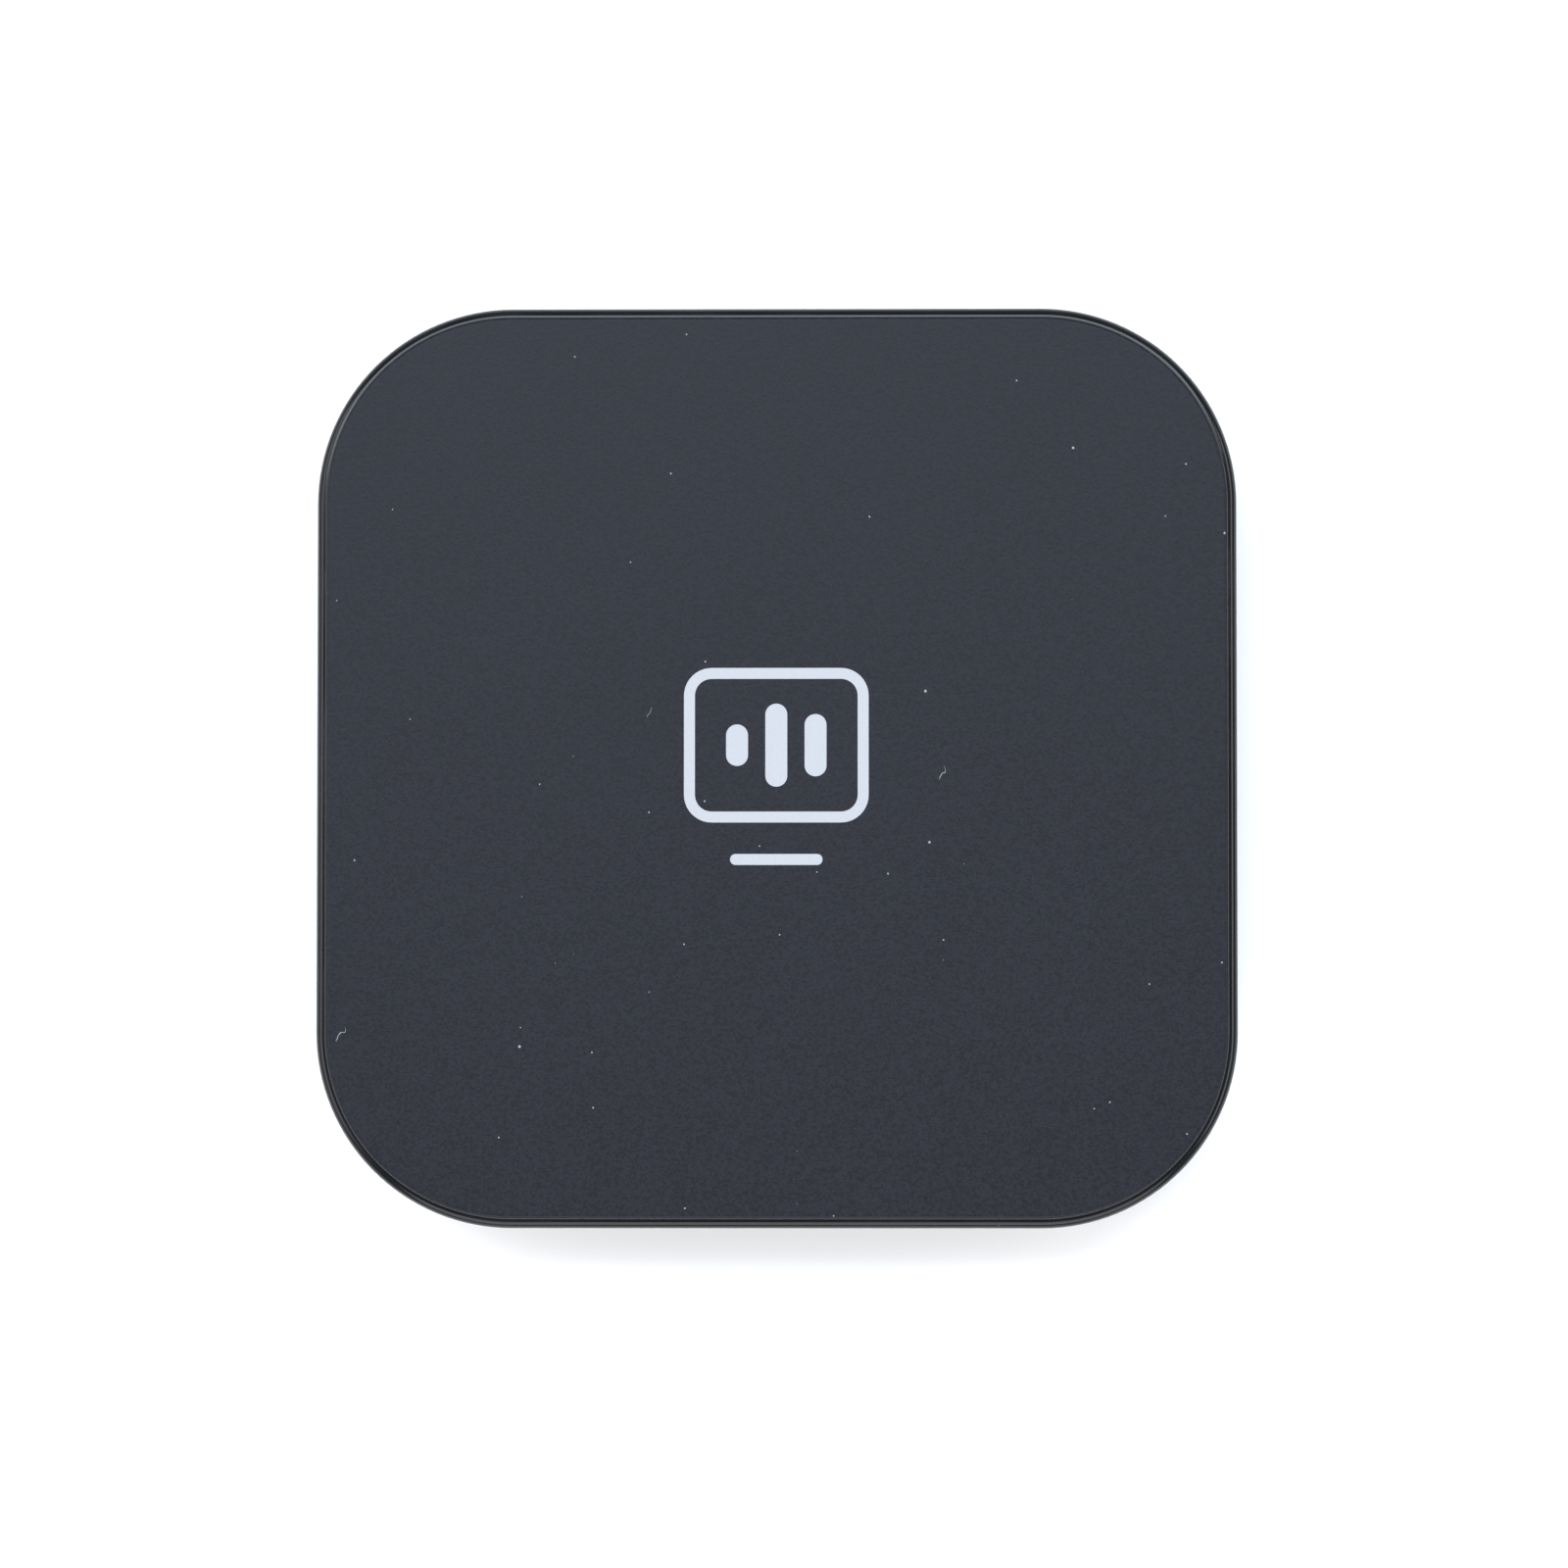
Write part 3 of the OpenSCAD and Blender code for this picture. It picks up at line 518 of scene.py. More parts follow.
@cache
def grid_cut_tree():
    """Cuts a grid of copies of a cutter out of the mesh it runs on."""
    tree = Tree("Grid of cuts", {"Body": "NodeSocketGeometry", "Cutter": "NodeSocketObject",
                                 "Columns": "NodeSocketInt", "Rows": "NodeSocketInt",
                                 "Pitch": "NodeSocketFloat", "Row pitch": "NodeSocketFloat",
                                 "Middle": "NodeSocketVector", "Finish": "NodeSocketMaterial"})
    columns, rows = tree.input("Columns"), tree.input("Rows")
    index = tree.node("GeometryNodeInputIndex")
    column = tree.math("MODULO", index, columns)
    row = tree.math("FLOOR", tree.math("DIVIDE", index, columns))

    def offset(step, count, pitch):
        centred = tree.math("SUBTRACT", step, tree.math("MULTIPLY", tree.math("SUBTRACT", count, 1.0), 0.5))
        return tree.math("MULTIPLY", centred, pitch)

    spread = tree.vector(offset(column, columns, tree.input("Pitch")),
                         offset(row, rows, tree.input("Row pitch")))
    place = tree.node("ShaderNodeVectorMath", {"operation": "ADD"}, {0: spread, 1: tree.input("Middle")})
    points = tree.node("GeometryNodePoints", {}, {"Count": tree.math("MULTIPLY", columns, rows),
                                                  "Position": place})
    cutter = tree.node("GeometryNodeObjectInfo", {}, {"Object": tree.input("Cutter")}, out="Geometry")
    copies = tree.node("GeometryNodeInstanceOnPoints", {}, {"Points": points, "Instance": cutter})
    cutters = tree.node("GeometryNodeRealizeInstances", {}, {"Geometry": copies})
    cut = tree.node("GeometryNodeMeshBoolean", {"operation": "DIFFERENCE", "solver": "EXACT"},
                    {"Mesh 1": tree.input("Body"), "Mesh 2": cutters})
    return tree.ends_in(cut)


@cache
def coil_tree():
    """A coil spring along Z, turned to run along X from a start point."""
    tree = Tree("Coil", {"Geometry": "NodeSocketGeometry", "Turns": "NodeSocketFloat",
                         "Radius": "NodeSocketFloat", "Wire": "NodeSocketFloat",
                         "Length": "NodeSocketFloat", "Start": "NodeSocketVector",
                         "Finish": "NodeSocketMaterial"})
    radius = tree.input("Radius")
    spiral = tree.node("GeometryNodeCurveSpiral", {}, {
        "Resolution": 24, "Rotations": tree.input("Turns"), "Start Radius": radius, "End Radius": radius,
        "Height": tree.input("Length")})
    laid = tree.node("GeometryNodeTransform", {}, {
        "Geometry": spiral, "Translation": tree.input("Start"), "Rotation": (0, math.pi / 2, 0)})
    section = tree.node("GeometryNodeCurvePrimitiveCircle", {}, {"Resolution": 10,
                                                                 "Radius": tree.input("Wire")})
    wire = tree.node("GeometryNodeCurveToMesh", {}, {"Curve": laid, "Profile Curve": section,
                                                     "Fill Caps": True})
    return tree.ends_in(wire)


@cache
def sleeve_tree():
    """A round cable along the curve it runs on."""
    tree = Tree("Sleeve", {"Route": "NodeSocketGeometry", "Radius": "NodeSocketFloat",
                           "Finish": "NodeSocketMaterial"})
    section = tree.node("GeometryNodeCurvePrimitiveCircle", {}, {"Resolution": 20,
                                                                 "Radius": tree.input("Radius")})
    route = tree.node("GeometryNodeMeshToCurve", {}, {"Mesh": tree.input("Route")})
    sleeve = tree.node("GeometryNodeCurveToMesh", {}, {"Curve": route,
                                                       "Profile Curve": section, "Fill Caps": True})
    return tree.ends_in(sleeve)


def repeated(name, places, part, finish, *nodes, turns=None, random_turn=0.0, body="case"):
    """A piece made of copies of one part at places in millimetres, each with its own turn."""
    shaded(part)
    piece = new_piece(name, ([Vector(place) for place in places], []))
    turn = piece.data.attributes.new("turn", "FLOAT", "POINT")
    turn.data.foreach_set("value", turns or [0.0] * len(piece.data.vertices))
    parts_tree().on(piece, Part=part, Random_turn=random_turn, Seed=7, Finish=material(finish))
    bpy.data.objects.remove(part)
    return settled(piece, finish, *nodes, body=body)


# --- Finishes -----------------------------------------------------------------------------------------


class Value:
    """A node's output socket, on which arithmetic adds Math nodes."""

    def __init__(self, finish, socket):
        self.finish = finish
        self.socket = socket

    def math(self, operation, *values):
        return self.finish.node("ShaderNodeMath", {"operation": operation}, dict(enumerate(values)))

    def __add__(self, other):
        return self.math("ADD", self, other)

    def __radd__(self, other):
        return self.math("ADD", other, self)

    def __sub__(self, other):
        return self.math("SUBTRACT", self, other)

    def __rsub__(self, other):
        return self.math("SUBTRACT", other, self)

    def __mul__(self, other):
        return self.math("MULTIPLY", self, other)

    def __pow__(self, other):
        return self.math("POWER", self, other)

    def __lt__(self, other):
        return self.math("LESS_THAN", self, other)

    def __gt__(self, other):
        return self.math("GREATER_THAN", self, other)

    def __abs__(self):
        return self.math("ABSOLUTE", self)

    def largest(self, other):
        return self.math("MAXIMUM", self, other)

    def smallest(self, other):
        return self.math("MINIMUM", self, other)

    def wave(self):
        return self.math("SINE", self)

    def step(self, start, end):
        """Runs smoothly from 0 at start to 1 at end."""
        return self.finish.node("ShaderNodeMapRange", {"interpolation_type": "SMOOTHSTEP"}, {
            "Value": self, "From Min": start, "From Max": end})


class Finish:
    """A material under construction: one Principled shader, and the nodes that vary it."""

    def __init__(self, name, colour, roughness, **constants):
        self.material = bpy.data.materials.new(name)
        self.material.use_nodes = True
        self.tree = self.material.node_tree
        self.shader = self.tree.nodes["Principled BSDF"]
        self.set(base_color=colour, roughness=roughness, **constants)
        self.colour = colour

    def node(self, kind, settings=(), inputs=(), out=0):
        """Adds a node: its settings first, then its sockets' values or links."""
        made = self.tree.nodes.new(kind)
        for key, value in dict(settings).items():
            setattr(made, key, value)
        for key, value in dict(inputs).items():
            self.feed(made.inputs[key], value)
        return Value(self, made.outputs[out])

    def feed(self, socket, value):
        if isinstance(value, Value):
            self.tree.links.new(value.socket, socket)
        elif socket.type == "RGBA" and len(value) == 3:
            socket.default_value = (*value, 1)
        else:
            socket.default_value = value

    def set(self, **values):
        """Sets or links the shader's sockets by name."""
        for label, value in values.items():
            self.feed(self.shader.inputs[label.replace("_", " ").title().replace("Ior", "IOR")], value)
        return self

    def place(self, scale=(1, 1, 1), turn=(0, 0, 0), centre=(0, 0, 0)):
        """The piece's own coordinates in millimetres, turned and stretched about a centre."""
        here = self.node("ShaderNodeTexCoord", out="Object")
        move = tuple(-value * MM for value in centre)
        moved = self.node("ShaderNodeVectorMath", {"operation": "ADD"}, {0: here, 1: move})
        grown = tuple(value / MM for value in scale)
        return self.node("ShaderNodeMapping", {"vector_type": "POINT"},
                         {"Vector": moved, "Scale": grown, "Rotation": turn})

    def axes(self, place):
        """The X, Y and Z of a place, or the red, green and blue of a colour."""
        parts = self.node("ShaderNodeSeparateXYZ", {}, {"Vector": place})
        outputs = parts.socket.node.outputs
        return [Value(self, outputs[i]) for i in range(3)]

    def noise(self, size, detail=2.0, roughness=0.5, place=None):
        """Noise whose features are about size millimetres across."""
        return self.node("ShaderNodeTexNoise", {}, {
            "Vector": place or self.place(), "Scale": 1 / size, "Detail": detail, "Roughness": roughness})

    def cells(self, size, place=None, out="Distance"):
        """Scattered points about size millimetres apart: the distance to them, or their colour."""
        return self.node("ShaderNodeTexVoronoi", {}, {"Vector": place or self.place(), "Scale": 1 / size},
                         out=out)

    def specks(self, size, radius, share, place=None):
        """1 on specks of a radius in millimetres, which a share of the scattered points have."""
        distance = self.cells(size, place)
        chance = self.axes(self.cells(size, place, out="Color"))[0]
        return (distance < radius / size) * (chance < share)

    def mix(self, factor, first, second):
        """The first colour where the factor is 0, and the second where it is 1."""
        return self.node("ShaderNodeMix", {"data_type": "RGBA"}, {0: factor, 6: first, 7: second}, out=2)

    def toned(self, factor, amount):
        """The finish's colour, from darker to lighter by an amount as the factor goes from 0 to 1."""
        dark, light = ([min(value * (1 + sign * amount), 1) for value in self.colour] for sign in (-1, 1))
        return self.mix(factor, dark, light)

    def bump(self, height, depth, strength=1.0):
        """Raises the surface by height times depth millimetres."""
        normal = self.node("ShaderNodeBump", {}, {"Height": height, "Distance": depth * MM,
                                                  "Strength": strength})
        return self.set(normal=normal)


def lid_plastic():
    """Matte slate plastic with a fine spark texture, and a few specks and fibres of dust."""
    look = settings().finish
    made = Finish("lid_plastic", look.lid[:], 0.45, specular_ior_level=0.18)
    fine = made.noise(0.26, 3, 0.65).step(0.34, 0.66)
    broad = made.noise(14, 2, 0.5)
    plain = made.toned(fine * 0.8 + broad * 0.2, look.grain)
    specks = made.specks(1.6, 0.075, look.dust).largest(made.specks(3.2, 0.12, look.dust * 0.8))
    curl = made.node("ShaderNodeCombineXYZ", {}, {"X": made.noise(0.8, 1) * 1.8 + made.noise(9, 0) * 12})
    crossed = made.node("ShaderNodeVectorMath", {"operation": "ADD"}, {
        0: made.place(scale=(1, 0.08, 1)), 1: curl})
    fibres = made.specks(1.7, 0.05, look.dust * 2.5, crossed)
    dust = specks.largest(fibres)
    made.set(base_color=made.mix(dust * 0.6, plain, (0.42, 0.44, 0.46)))
    made.set(roughness=0.4 + fine * 0.1 + dust * 0.3)
    return made.bump(fine + dust * 2.0, 0.012, 0.5)


def mark_ink():
    """Bluish white screen-printed ink."""
    made = Finish("mark_ink", settings().finish.mark[:], 0.5, specular_ior_level=0.3)
    cover = made.noise(0.12, 2, 0.6)
    made.set(base_color=made.toned(cover, 0.07), roughness=0.42 + cover * 0.16)
    return made.bump(cover, 0.006, 0.5)


def frame_plastic():
    """Gloss black plastic with faint smudges, hairlines and a few specks of dust."""
    made = Finish("frame_plastic", settings().finish.gloss[:], 0.12, specular_ior_level=0.3)
    smudge = made.noise(7, 3, 0.6).step(0.42, 0.7)
    hairlines = made.noise(0.5, 2, 0.6, made.place(scale=(0.06, 0.06, 3), turn=(0.3, 0.2, 0)))
    dust = made.specks(3.1, 0.05, 0.25)
    made.set(base_color=made.mix(dust * 0.5, made.toned(smudge, 0.25), (0.3, 0.31, 0.32)))
    made.set(roughness=0.1 + smudge * 0.1 + hairlines * 0.05 + dust * 0.3)
    return made.bump(made.noise(3, 1) * 0.6 + hairlines * 0.1, 0.01, 0.4)


def base_plastic():
    """Black plastic with a coarse spark texture, polished a little by handling."""
    made = Finish("base_plastic", settings().finish.base[:], 0.6, specular_ior_level=0.4)
    spark = made.noise(0.22, 4, 0.7)
    rubbed = made.noise(11, 2, 0.5).step(0.45, 0.75)
    dust = made.specks(4.4, 0.06, 0.2)
    plain = made.toned(spark * 0.7 + rubbed * 0.3, 0.35)
    made.set(base_color=made.mix(dust * 0.4, plain, (0.25, 0.25, 0.26)))
    made.set(roughness=0.62 - rubbed * 0.14 + spark * 0.1)
    return made.bump(spark, 0.03, 0.8)


def foot_rubber():
    """Dark rubber, scuffed and dusty on the ground face."""
    made = Finish("foot_rubber", settings().finish.rubber[:], 0.85, specular_ior_level=0.3)
    grain = made.noise(0.18, 3, 0.6)
    height = made.axes(made.place())[2]
    scuffed = (1 - height.step(0.02, 0.3)) * made.noise(1.6, 3, 0.7).step(0.4, 0.7)
    made.set(base_color=made.mix(scuffed * 0.25, made.toned(grain, 0.25), (0.11, 0.107, 0.103)))
    made.set(roughness=0.78 + grain * 0.14)
    return made.bump(grain + scuffed * 0.5, 0.02, 0.7)


def label_film():
    """Satin silver film with a thin printed border and blank fields."""
    made = Finish("label_film", (0.5, 0.52, 0.55), 0.35, metallic=0.35)
    size, centre = high("base_label") - low("base_label"), middle("base_label")
    u, v, _ = made.axes(made.place(centre=centre))
    inset = (abs(u) - size.x / 2).largest(abs(v) - size.y / 2)
    border = (inset > -1.15) * (inset < -0.9)
    divider = (abs(u + 4) < 0.1) * (inset < -1)
    grain = made.noise(0.3, 3, 0.6)
    printed = border.largest(divider)
    made.set(base_color=made.mix(printed, made.toned(grain, 0.06), (0.03, 0.032, 0.035)))
    made.set(roughness=0.32 + grain * 0.1 + printed * 0.2)
    return made.bump(grain, 0.004, 0.4)


def lanes(across):
    """Parallel tracks, a millimetre or so apart."""
    return (across * 6.5).wave().step(0.1, 0.35)


def board_laminate():
    """Green solder mask over copper traces, with bare gold rings at the screws and tan laminate edges."""
    look = settings().finish
    made = Finish("board_laminate", look.mask[:], 0.35, specular_ior_level=0.5)
    u, v, height = made.axes(made.place())
    level = made.noise(9, 0) < 0.5
    slanted = made.noise(7.5, 0) < 0.44
    straight = level * lanes(v) + (1 - level) * lanes(u)
    traces = (slanted * lanes((u + v) * 0.7) + (1 - slanted) * straight) * made.noise(12, 0).step(0.42, 0.44)
    rings = 0.0
    for spot in centres("case_screws") + centres("board_screws"):
        away = ((u - spot.x) * (u - spot.x) + (v - spot.y) * (v - spot.y)) ** 0.5
        rings = (away < 2.4) + rings
    vias = made.specks(2.2, 0.16, 0.6)
    lo, hi = low("main_board").z, high("main_board").z
    inside = (height > lo + 0.03) * (height < hi - 0.03)
    gold = (rings + vias).smallest(1.0) * (1 - inside)
    masked = made.mix(traces * 0.75, look.mask[:], (0.012, 0.11, 0.055))
    plated = made.mix(gold, masked, look.gold[:])
    made.set(base_color=made.mix(inside, plated, (0.3, 0.24, 0.1)), metallic=gold)
    made.set(roughness=0.32 + inside * 0.4 + traces * 0.06)
    return made.bump(traces + gold * 0.5, 0.02, 0.6)


def chip_resin():
    """Black moulding resin with a fine grain and faint flow marks."""
    made = Finish("chip_resin", (0.018, 0.019, 0.021), 0.5, specular_ior_level=0.4)
    grain = made.noise(0.07, 3, 0.7)
    flow = made.noise(2.4, 2)
    made.set(base_color=made.toned(grain * 0.6 + flow * 0.4, 0.45), roughness=0.44 + grain * 0.2)
    return made.bump(grain, 0.01, 0.7)


def ferrite():
    """Pressed grey powder of the power inductors."""
    made = Finish("ferrite", (0.05, 0.051, 0.055), 0.7, specular_ior_level=0.4)
    powder = made.noise(0.1, 4, 0.8)
    glints = made.specks(0.3, 0.03, 0.4)
    made.set(base_color=made.mix(glints * 0.5, made.toned(powder, 0.5), (0.3, 0.3, 0.31)))
    made.set(roughness=0.72 - glints * 0.35)
    return made.bump(powder, 0.02, 0.8)


def brushed(name, colour, roughness, way, size=0.35, depth=0.006):
    """Metal with fine lines that run along one axis: way stretches the noise along the others."""
    made = Finish(name, colour, roughness, metallic=1.0)
    lines = made.noise(size, 3, 0.65, made.place(scale=way))
    stain = made.noise(5, 2, 0.5)
    made.set(base_color=made.toned(lines * 0.6 + stain * 0.4, 0.12))
    made.set(roughness=roughness - 0.06 + lines * 0.16)
    return made.bump(lines, depth, 0.5)


def can_aluminium():
    """Drawn aluminium cans with a dark stripe on the negative side."""
    made = Finish("can_aluminium", (0.7, 0.71, 0.73), 0.3, metallic=1.0)
    u, _, height = made.axes(made.place())
    lines = made.noise(0.3, 3, 0.6, made.place(scale=(1, 1, 0.1)))
    top = high("bulk_capacitors").z
    stripe = 0.0
    for spot in centres("bulk_capacitors"):
        stripe = (u < spot.x - 1.3) * (u > spot.x - 2.6) + stripe
    stripe = stripe * (height > top - 0.25)
    sleeve = height < low("bulk_capacitors").z + 0.85
    made.set(base_color=made.mix(stripe.largest(sleeve), made.toned(lines, 0.1), (0.015, 0.015, 0.017)))
    made.set(metallic=1 - stripe.largest(sleeve), roughness=0.24 + lines * 0.14)
    return made.bump(lines, 0.004, 0.5)


def ceramic():
    """Fired tan ceramic of the chip capacitors."""
    made = Finish("ceramic", (0.4, 0.26, 0.14), 0.45, specular_ior_level=0.5)
    grain, batch = made.noise(0.08, 3, 0.7), made.noise(4, 1)
    made.set(base_color=made.toned(grain * 0.4 + batch * 0.6, 0.35), roughness=0.38 + grain * 0.2)
    return made.bump(grain, 0.006, 0.6)


def plated_steel():
    """Tin-plated sheet steel of the shields and connector shells."""
    return brushed("plated_steel", settings().finish.steel[:], 0.3, (1, 0.05, 1))


def screw_steel():
    """Zinc-plated screws, whose fine lines run round their heads and threads."""
    return brushed("screw_steel", (0.36, 0.365, 0.375), 0.32, (1, 1, 6), 0.25, 0.008)


def thermal_gel():
    """Soft pale blue gap filler with filler grains."""
    made = Finish("thermal_gel", (0.2, 0.36, 0.5), 0.7, specular_ior_level=0.3)
    grains = made.noise(0.14, 4, 0.75)
    pits = made.specks(0.9, 0.1, 0.5)
    made.set(base_color=made.toned(grains, 0.2), roughness=0.65 + grains * 0.15 - pits * 0.1)
    return made.bump(grains - pits, 0.03, 0.7)


def sink_aluminium():
    """Extruded aluminium, with die lines that run along the fins."""
    return brushed("sink_aluminium", (0.5, 0.51, 0.525), 0.38, (1, 0.03, 1), 0.25, 0.012)


def gilt_brass():
    """Gold-plated contacts and copper aerials."""
    return brushed("gilt_brass", settings().finish.gold[:], 0.22, (1, 0.1, 1), 0.2, 0.004)


def cable_jacket():
    """Black extruded jacket of the thin aerial cables."""
    made = Finish("cable_jacket", (0.016, 0.016, 0.018), 0.45, specular_ior_level=0.45)
    ripple, grain = made.noise(0.9, 2), made.noise(0.1, 3, 0.6)
    made.set(base_color=made.toned(ripple, 0.3), roughness=0.4 + grain * 0.16)
    return made.bump(ripple + grain * 0.3, 0.012, 0.6)


def connector_plastic():
    """Black glass-filled plastic of the connector bodies."""
    made = Finish("connector_plastic", (0.014, 0.014, 0.016), 0.5, specular_ior_level=0.45)
    fibres = made.noise(0.3, 3, 0.7, made.place(scale=(1, 0.25, 1)))
    made.set(base_color=made.toned(fibres, 0.4), roughness=0.44 + fibres * 0.18)
    return made.bump(fibres, 0.01, 0.6)


def spring_steel():
    """Drawn spring wire and the stamped snap dome."""
    return brushed("spring_steel", (0.45, 0.455, 0.465), 0.26, (0.1, 1, 1), 0.15, 0.003)


def slider_plastic():
    """Natural white plastic of the small moving parts."""
    made = Finish("slider_plastic", (0.68, 0.68, 0.63), 0.45, subsurface_weight=0.1)
    grain, flow = made.noise(0.12, 3, 0.6), made.noise(1.8, 1)
    made.set(base_color=made.toned(flow, 0.06), roughness=0.4 + grain * 0.14)
    return made.bump(grain, 0.008, 0.5)


def button_plastic():
    """Satin black plastic of the reset button, shinier where fingers rub it."""
    made = Finish("button_plastic", (0.018, 0.019, 0.021), 0.35, specular_ior_level=0.5)
    centre = middle("reset_button")
    u, _, v = made.axes(made.place(centre=centre))
    worn = 1 - ((u * u + v * v) ** 0.5).step(0.4, 1.5)
    grain = made.noise(0.12, 3, 0.6)
    made.set(base_color=made.toned(worn * 0.6 + grain * 0.4, 0.3))
    made.set(roughness=0.42 - worn * 0.16 + grain * 0.1)
    return made.bump(grain, 0.01, 0.5)


def led_resin():
    """White housing of the side-looking light, with its cream resin window."""
    made = Finish("led_resin", (0.78, 0.78, 0.74), 0.4, specular_ior_level=0.5)
    centre = middle("status_led")
    u, _, v = made.axes(made.place(centre=(centre.x, centre.y, middle("light_pipe").z)))
    window = 1 - ((u * u + v * v) ** 0.5).step(0.6, 0.72)
    grain = made.noise(0.1, 2)
    made.set(base_color=made.mix(window, made.toned(grain, 0.05), (0.75, 0.6, 0.2)))
    made.set(roughness=0.42 - window * 0.25 + grain * 0.08)
    return made.bump(grain, 0.004, 0.4)


def pipe_acrylic():
    """Frosted clear acrylic of the light pipe."""
    made = Finish("pipe_acrylic", (0.82, 0.87, 0.9), 0.2, transmission_weight=0.65, ior=1.49)
    frost = made.noise(0.08, 3, 0.7)
    made.set(base_color=made.toned(frost, 0.05), roughness=0.16 + frost * 0.16)
    return made.bump(frost, 0.006, 0.5)


def floor_paint():
    """Pale matte floor with a barely visible mottle."""
    made = Finish("floor_paint", settings().stage.floor[:], 0.9, specular_ior_level=0.1)
    mottle = made.noise(60, 2)
    return made.set(base_color=made.toned(mottle, 0.012), roughness=0.88 + mottle * 0.05)


FINISHES = [lid_plastic, mark_ink, frame_plastic, base_plastic, foot_rubber, label_film, board_laminate,
            chip_resin, ferrite, can_aluminium, ceramic, plated_steel, screw_steel, thermal_gel,
            sink_aluminium, gilt_brass, cable_jacket, connector_plastic, spring_steel, slider_plastic,
            button_plastic, led_resin, pipe_acrylic, floor_paint]


@cache
def material(name):
    """The material that the function of that name makes, made once."""
    return {make.__name__: make for make in FINISHES}[name]().material


# --- Case ---------------------------------------------------------------------------------------------


def footings(node):
    """Where each solid of a CAD node stands: its middle in plan, at its foot."""
    return [Vector((*((lo + hi) / 2).xy, lo.z)) for lo, hi in islands(node)]


def lip_reach():
    """How far out from the corners' centres the outside and the inside of the case's lips stand."""
    case = sizes("case")
    outer = case.corner_radius - case.wall - case.lip_gap
    return outer, outer - case.lip


def clips(grow=0.0):
    """The lid's snap clips, or the pockets that hold them when grown."""
    wide, tall, reach, spread = 8, 1, 0.5, 13
    foot = high("side_frame").z - 1.4
    root = corner_centre() + lip_reach()[0]

    def outline(width, lower, upper):
        u = width / 2 + grow
        return [(u, upper + grow), (-u, upper + grow), (-u, lower - grow), (u, lower - grow)]

    stations = [(outline(wide, 0, tall), root - 0.3), (outline(wide, 0, tall), root + 0.1),
                (outline(wide - 0.6, tall / 2, tall - 0.2), root + reach + grow)]
    return joined(solid(face, (across * FACES[face][0]) + foot * Z, stations)
                  for face in ("front", "rear", "left", "right") for across in (-spread, spread))


def pictogram(start, end):
    """The lid's printed mark: a screen with three level bars in it, on a stand line."""
    mark = sizes("mark")
    lift = (mark.drop + mark.stroke / 2) / 2
    screen = growing(mark.width, mark.height, mark.radius, 10)
    outer, inner = screen(0), screen(-mark.stroke)
    shapes = [solid("top", (0, lift, 0), [(outer, start), (outer, end), (inner, end), (inner, start)],
                    closed=True)]
    bar, pitch = 2 * mark.stroke, 3.4
    for i, share in enumerate((0.5, 1, 0.75)):
        outline = rounded(bar, share * mark.bar, bar / 2 - 0.01, 8)
        shapes.append(solid("top", ((i - 1) * pitch, lift, 0), [(outline, start), (outline, end)]))
    stand = rounded(0.5 * mark.width, mark.stroke, mark.stroke / 2 - 0.01, 8)
    foot = lift - mark.height / 2 - mark.drop
    return joined(shapes + [solid("top", (0, foot, 0), [(stand, start), (stand, end)])])


class MEDIAPLAYER_OT_lid(bpy.types.Operator):
    """Matte lid with its skirt, screw posts and snap clips"""
    bl_idname = "media_player.lid"
    bl_label = "Lid"

    def execute(self, context):
        case = sizes("case")
        outer, inner = lip_reach()
        top, seat = high("top_cover").z, high("side_frame").z
        reach, skirt = high("top_cover").x - corner_centre(), seat - case.skirt
        profile = [(inner, top - case.lid_plate), (inner, skirt + case.seam), (inner + case.seam, skirt),
                   (outer - case.seam, skirt), (outer, skirt + case.seam), (outer, seat),
                   (reach - case.seam, seat), (reach, seat + case.seam)]
        profile += arc(reach - case.lid_edge, top - case.lid_edge, case.lid_edge, 0, 90, 8)
        lid = new_piece("lid", case_shell(profile))
        post, pilot, start = 2.6, 0.85, low("top_cover").z
        places = footings("case_screws")
        carved(lid, clips(), "UNION")
        carved(lid, turned_at(places, [(post - 0.2, start), (post, start + 0.2), (post, top - 1.2)]), "UNION")
        carved(lid, turned_at(places, [(pilot + 0.3, start - 1), (pilot + 0.3, start + 0.3),
                                       (pilot, start + 0.6), (pilot, high("case_screws").z + 1)], 32))
        settled(shaded(lid), "lid_plastic", "top_cover")
        return {"FINISHED"}


class MEDIAPLAYER_OT_mark(bpy.types.Operator):
    """Pictogram printed on the lid"""
    bl_idname = "media_player.mark"
    bl_label = "Mark"

    def execute(self, context):
        top, ink = high("top_cover").z, sizes("mark").ink
        mark = new_piece("lid_mark", pictogram(top - ink, top + ink))
        settled(shaded(mark), "mark_ink", "cover_mark")
        return {"FINISHED"}


# Thickness of the sheet that the ports' shells are drawn from, and the width and height inside each
PORT_WALL = 0.3
OPENINGS = {"video": (14, 4.55), "power": (8.34, 2.66)}


def video_outline(grow):
    """Outline of the video port: full width above, and sloping in to a narrower floor."""
    u, v = (size / 2 + grow for size in OPENINGS["video"])
    taper, shoulder = 1.7, 0.5 + grow / 2
    floor = u - taper - grow / 2
    return filleted([(u, v), (-u, v), (-u, -shoulder), (-floor, -v), (floor, -v), (u, -shoulder)],
                    0.55 + max(grow, 0) / 2)


def power_outline(grow):
    """Outline of the power port, which has round ends."""
    width, height = (size + 2 * grow for size in OPENINGS["power"])
    return rounded(width, height, height / 2 - 0.01, 12)


def port_centre(kind):
    """The middle of a port's opening, as seen from the rear."""
    shell = f"{kind}_port_shell"
    return Vector((middle(shell).x, 0, high(shell).z - OPENINGS[kind][1] / 2 - PORT_WALL))


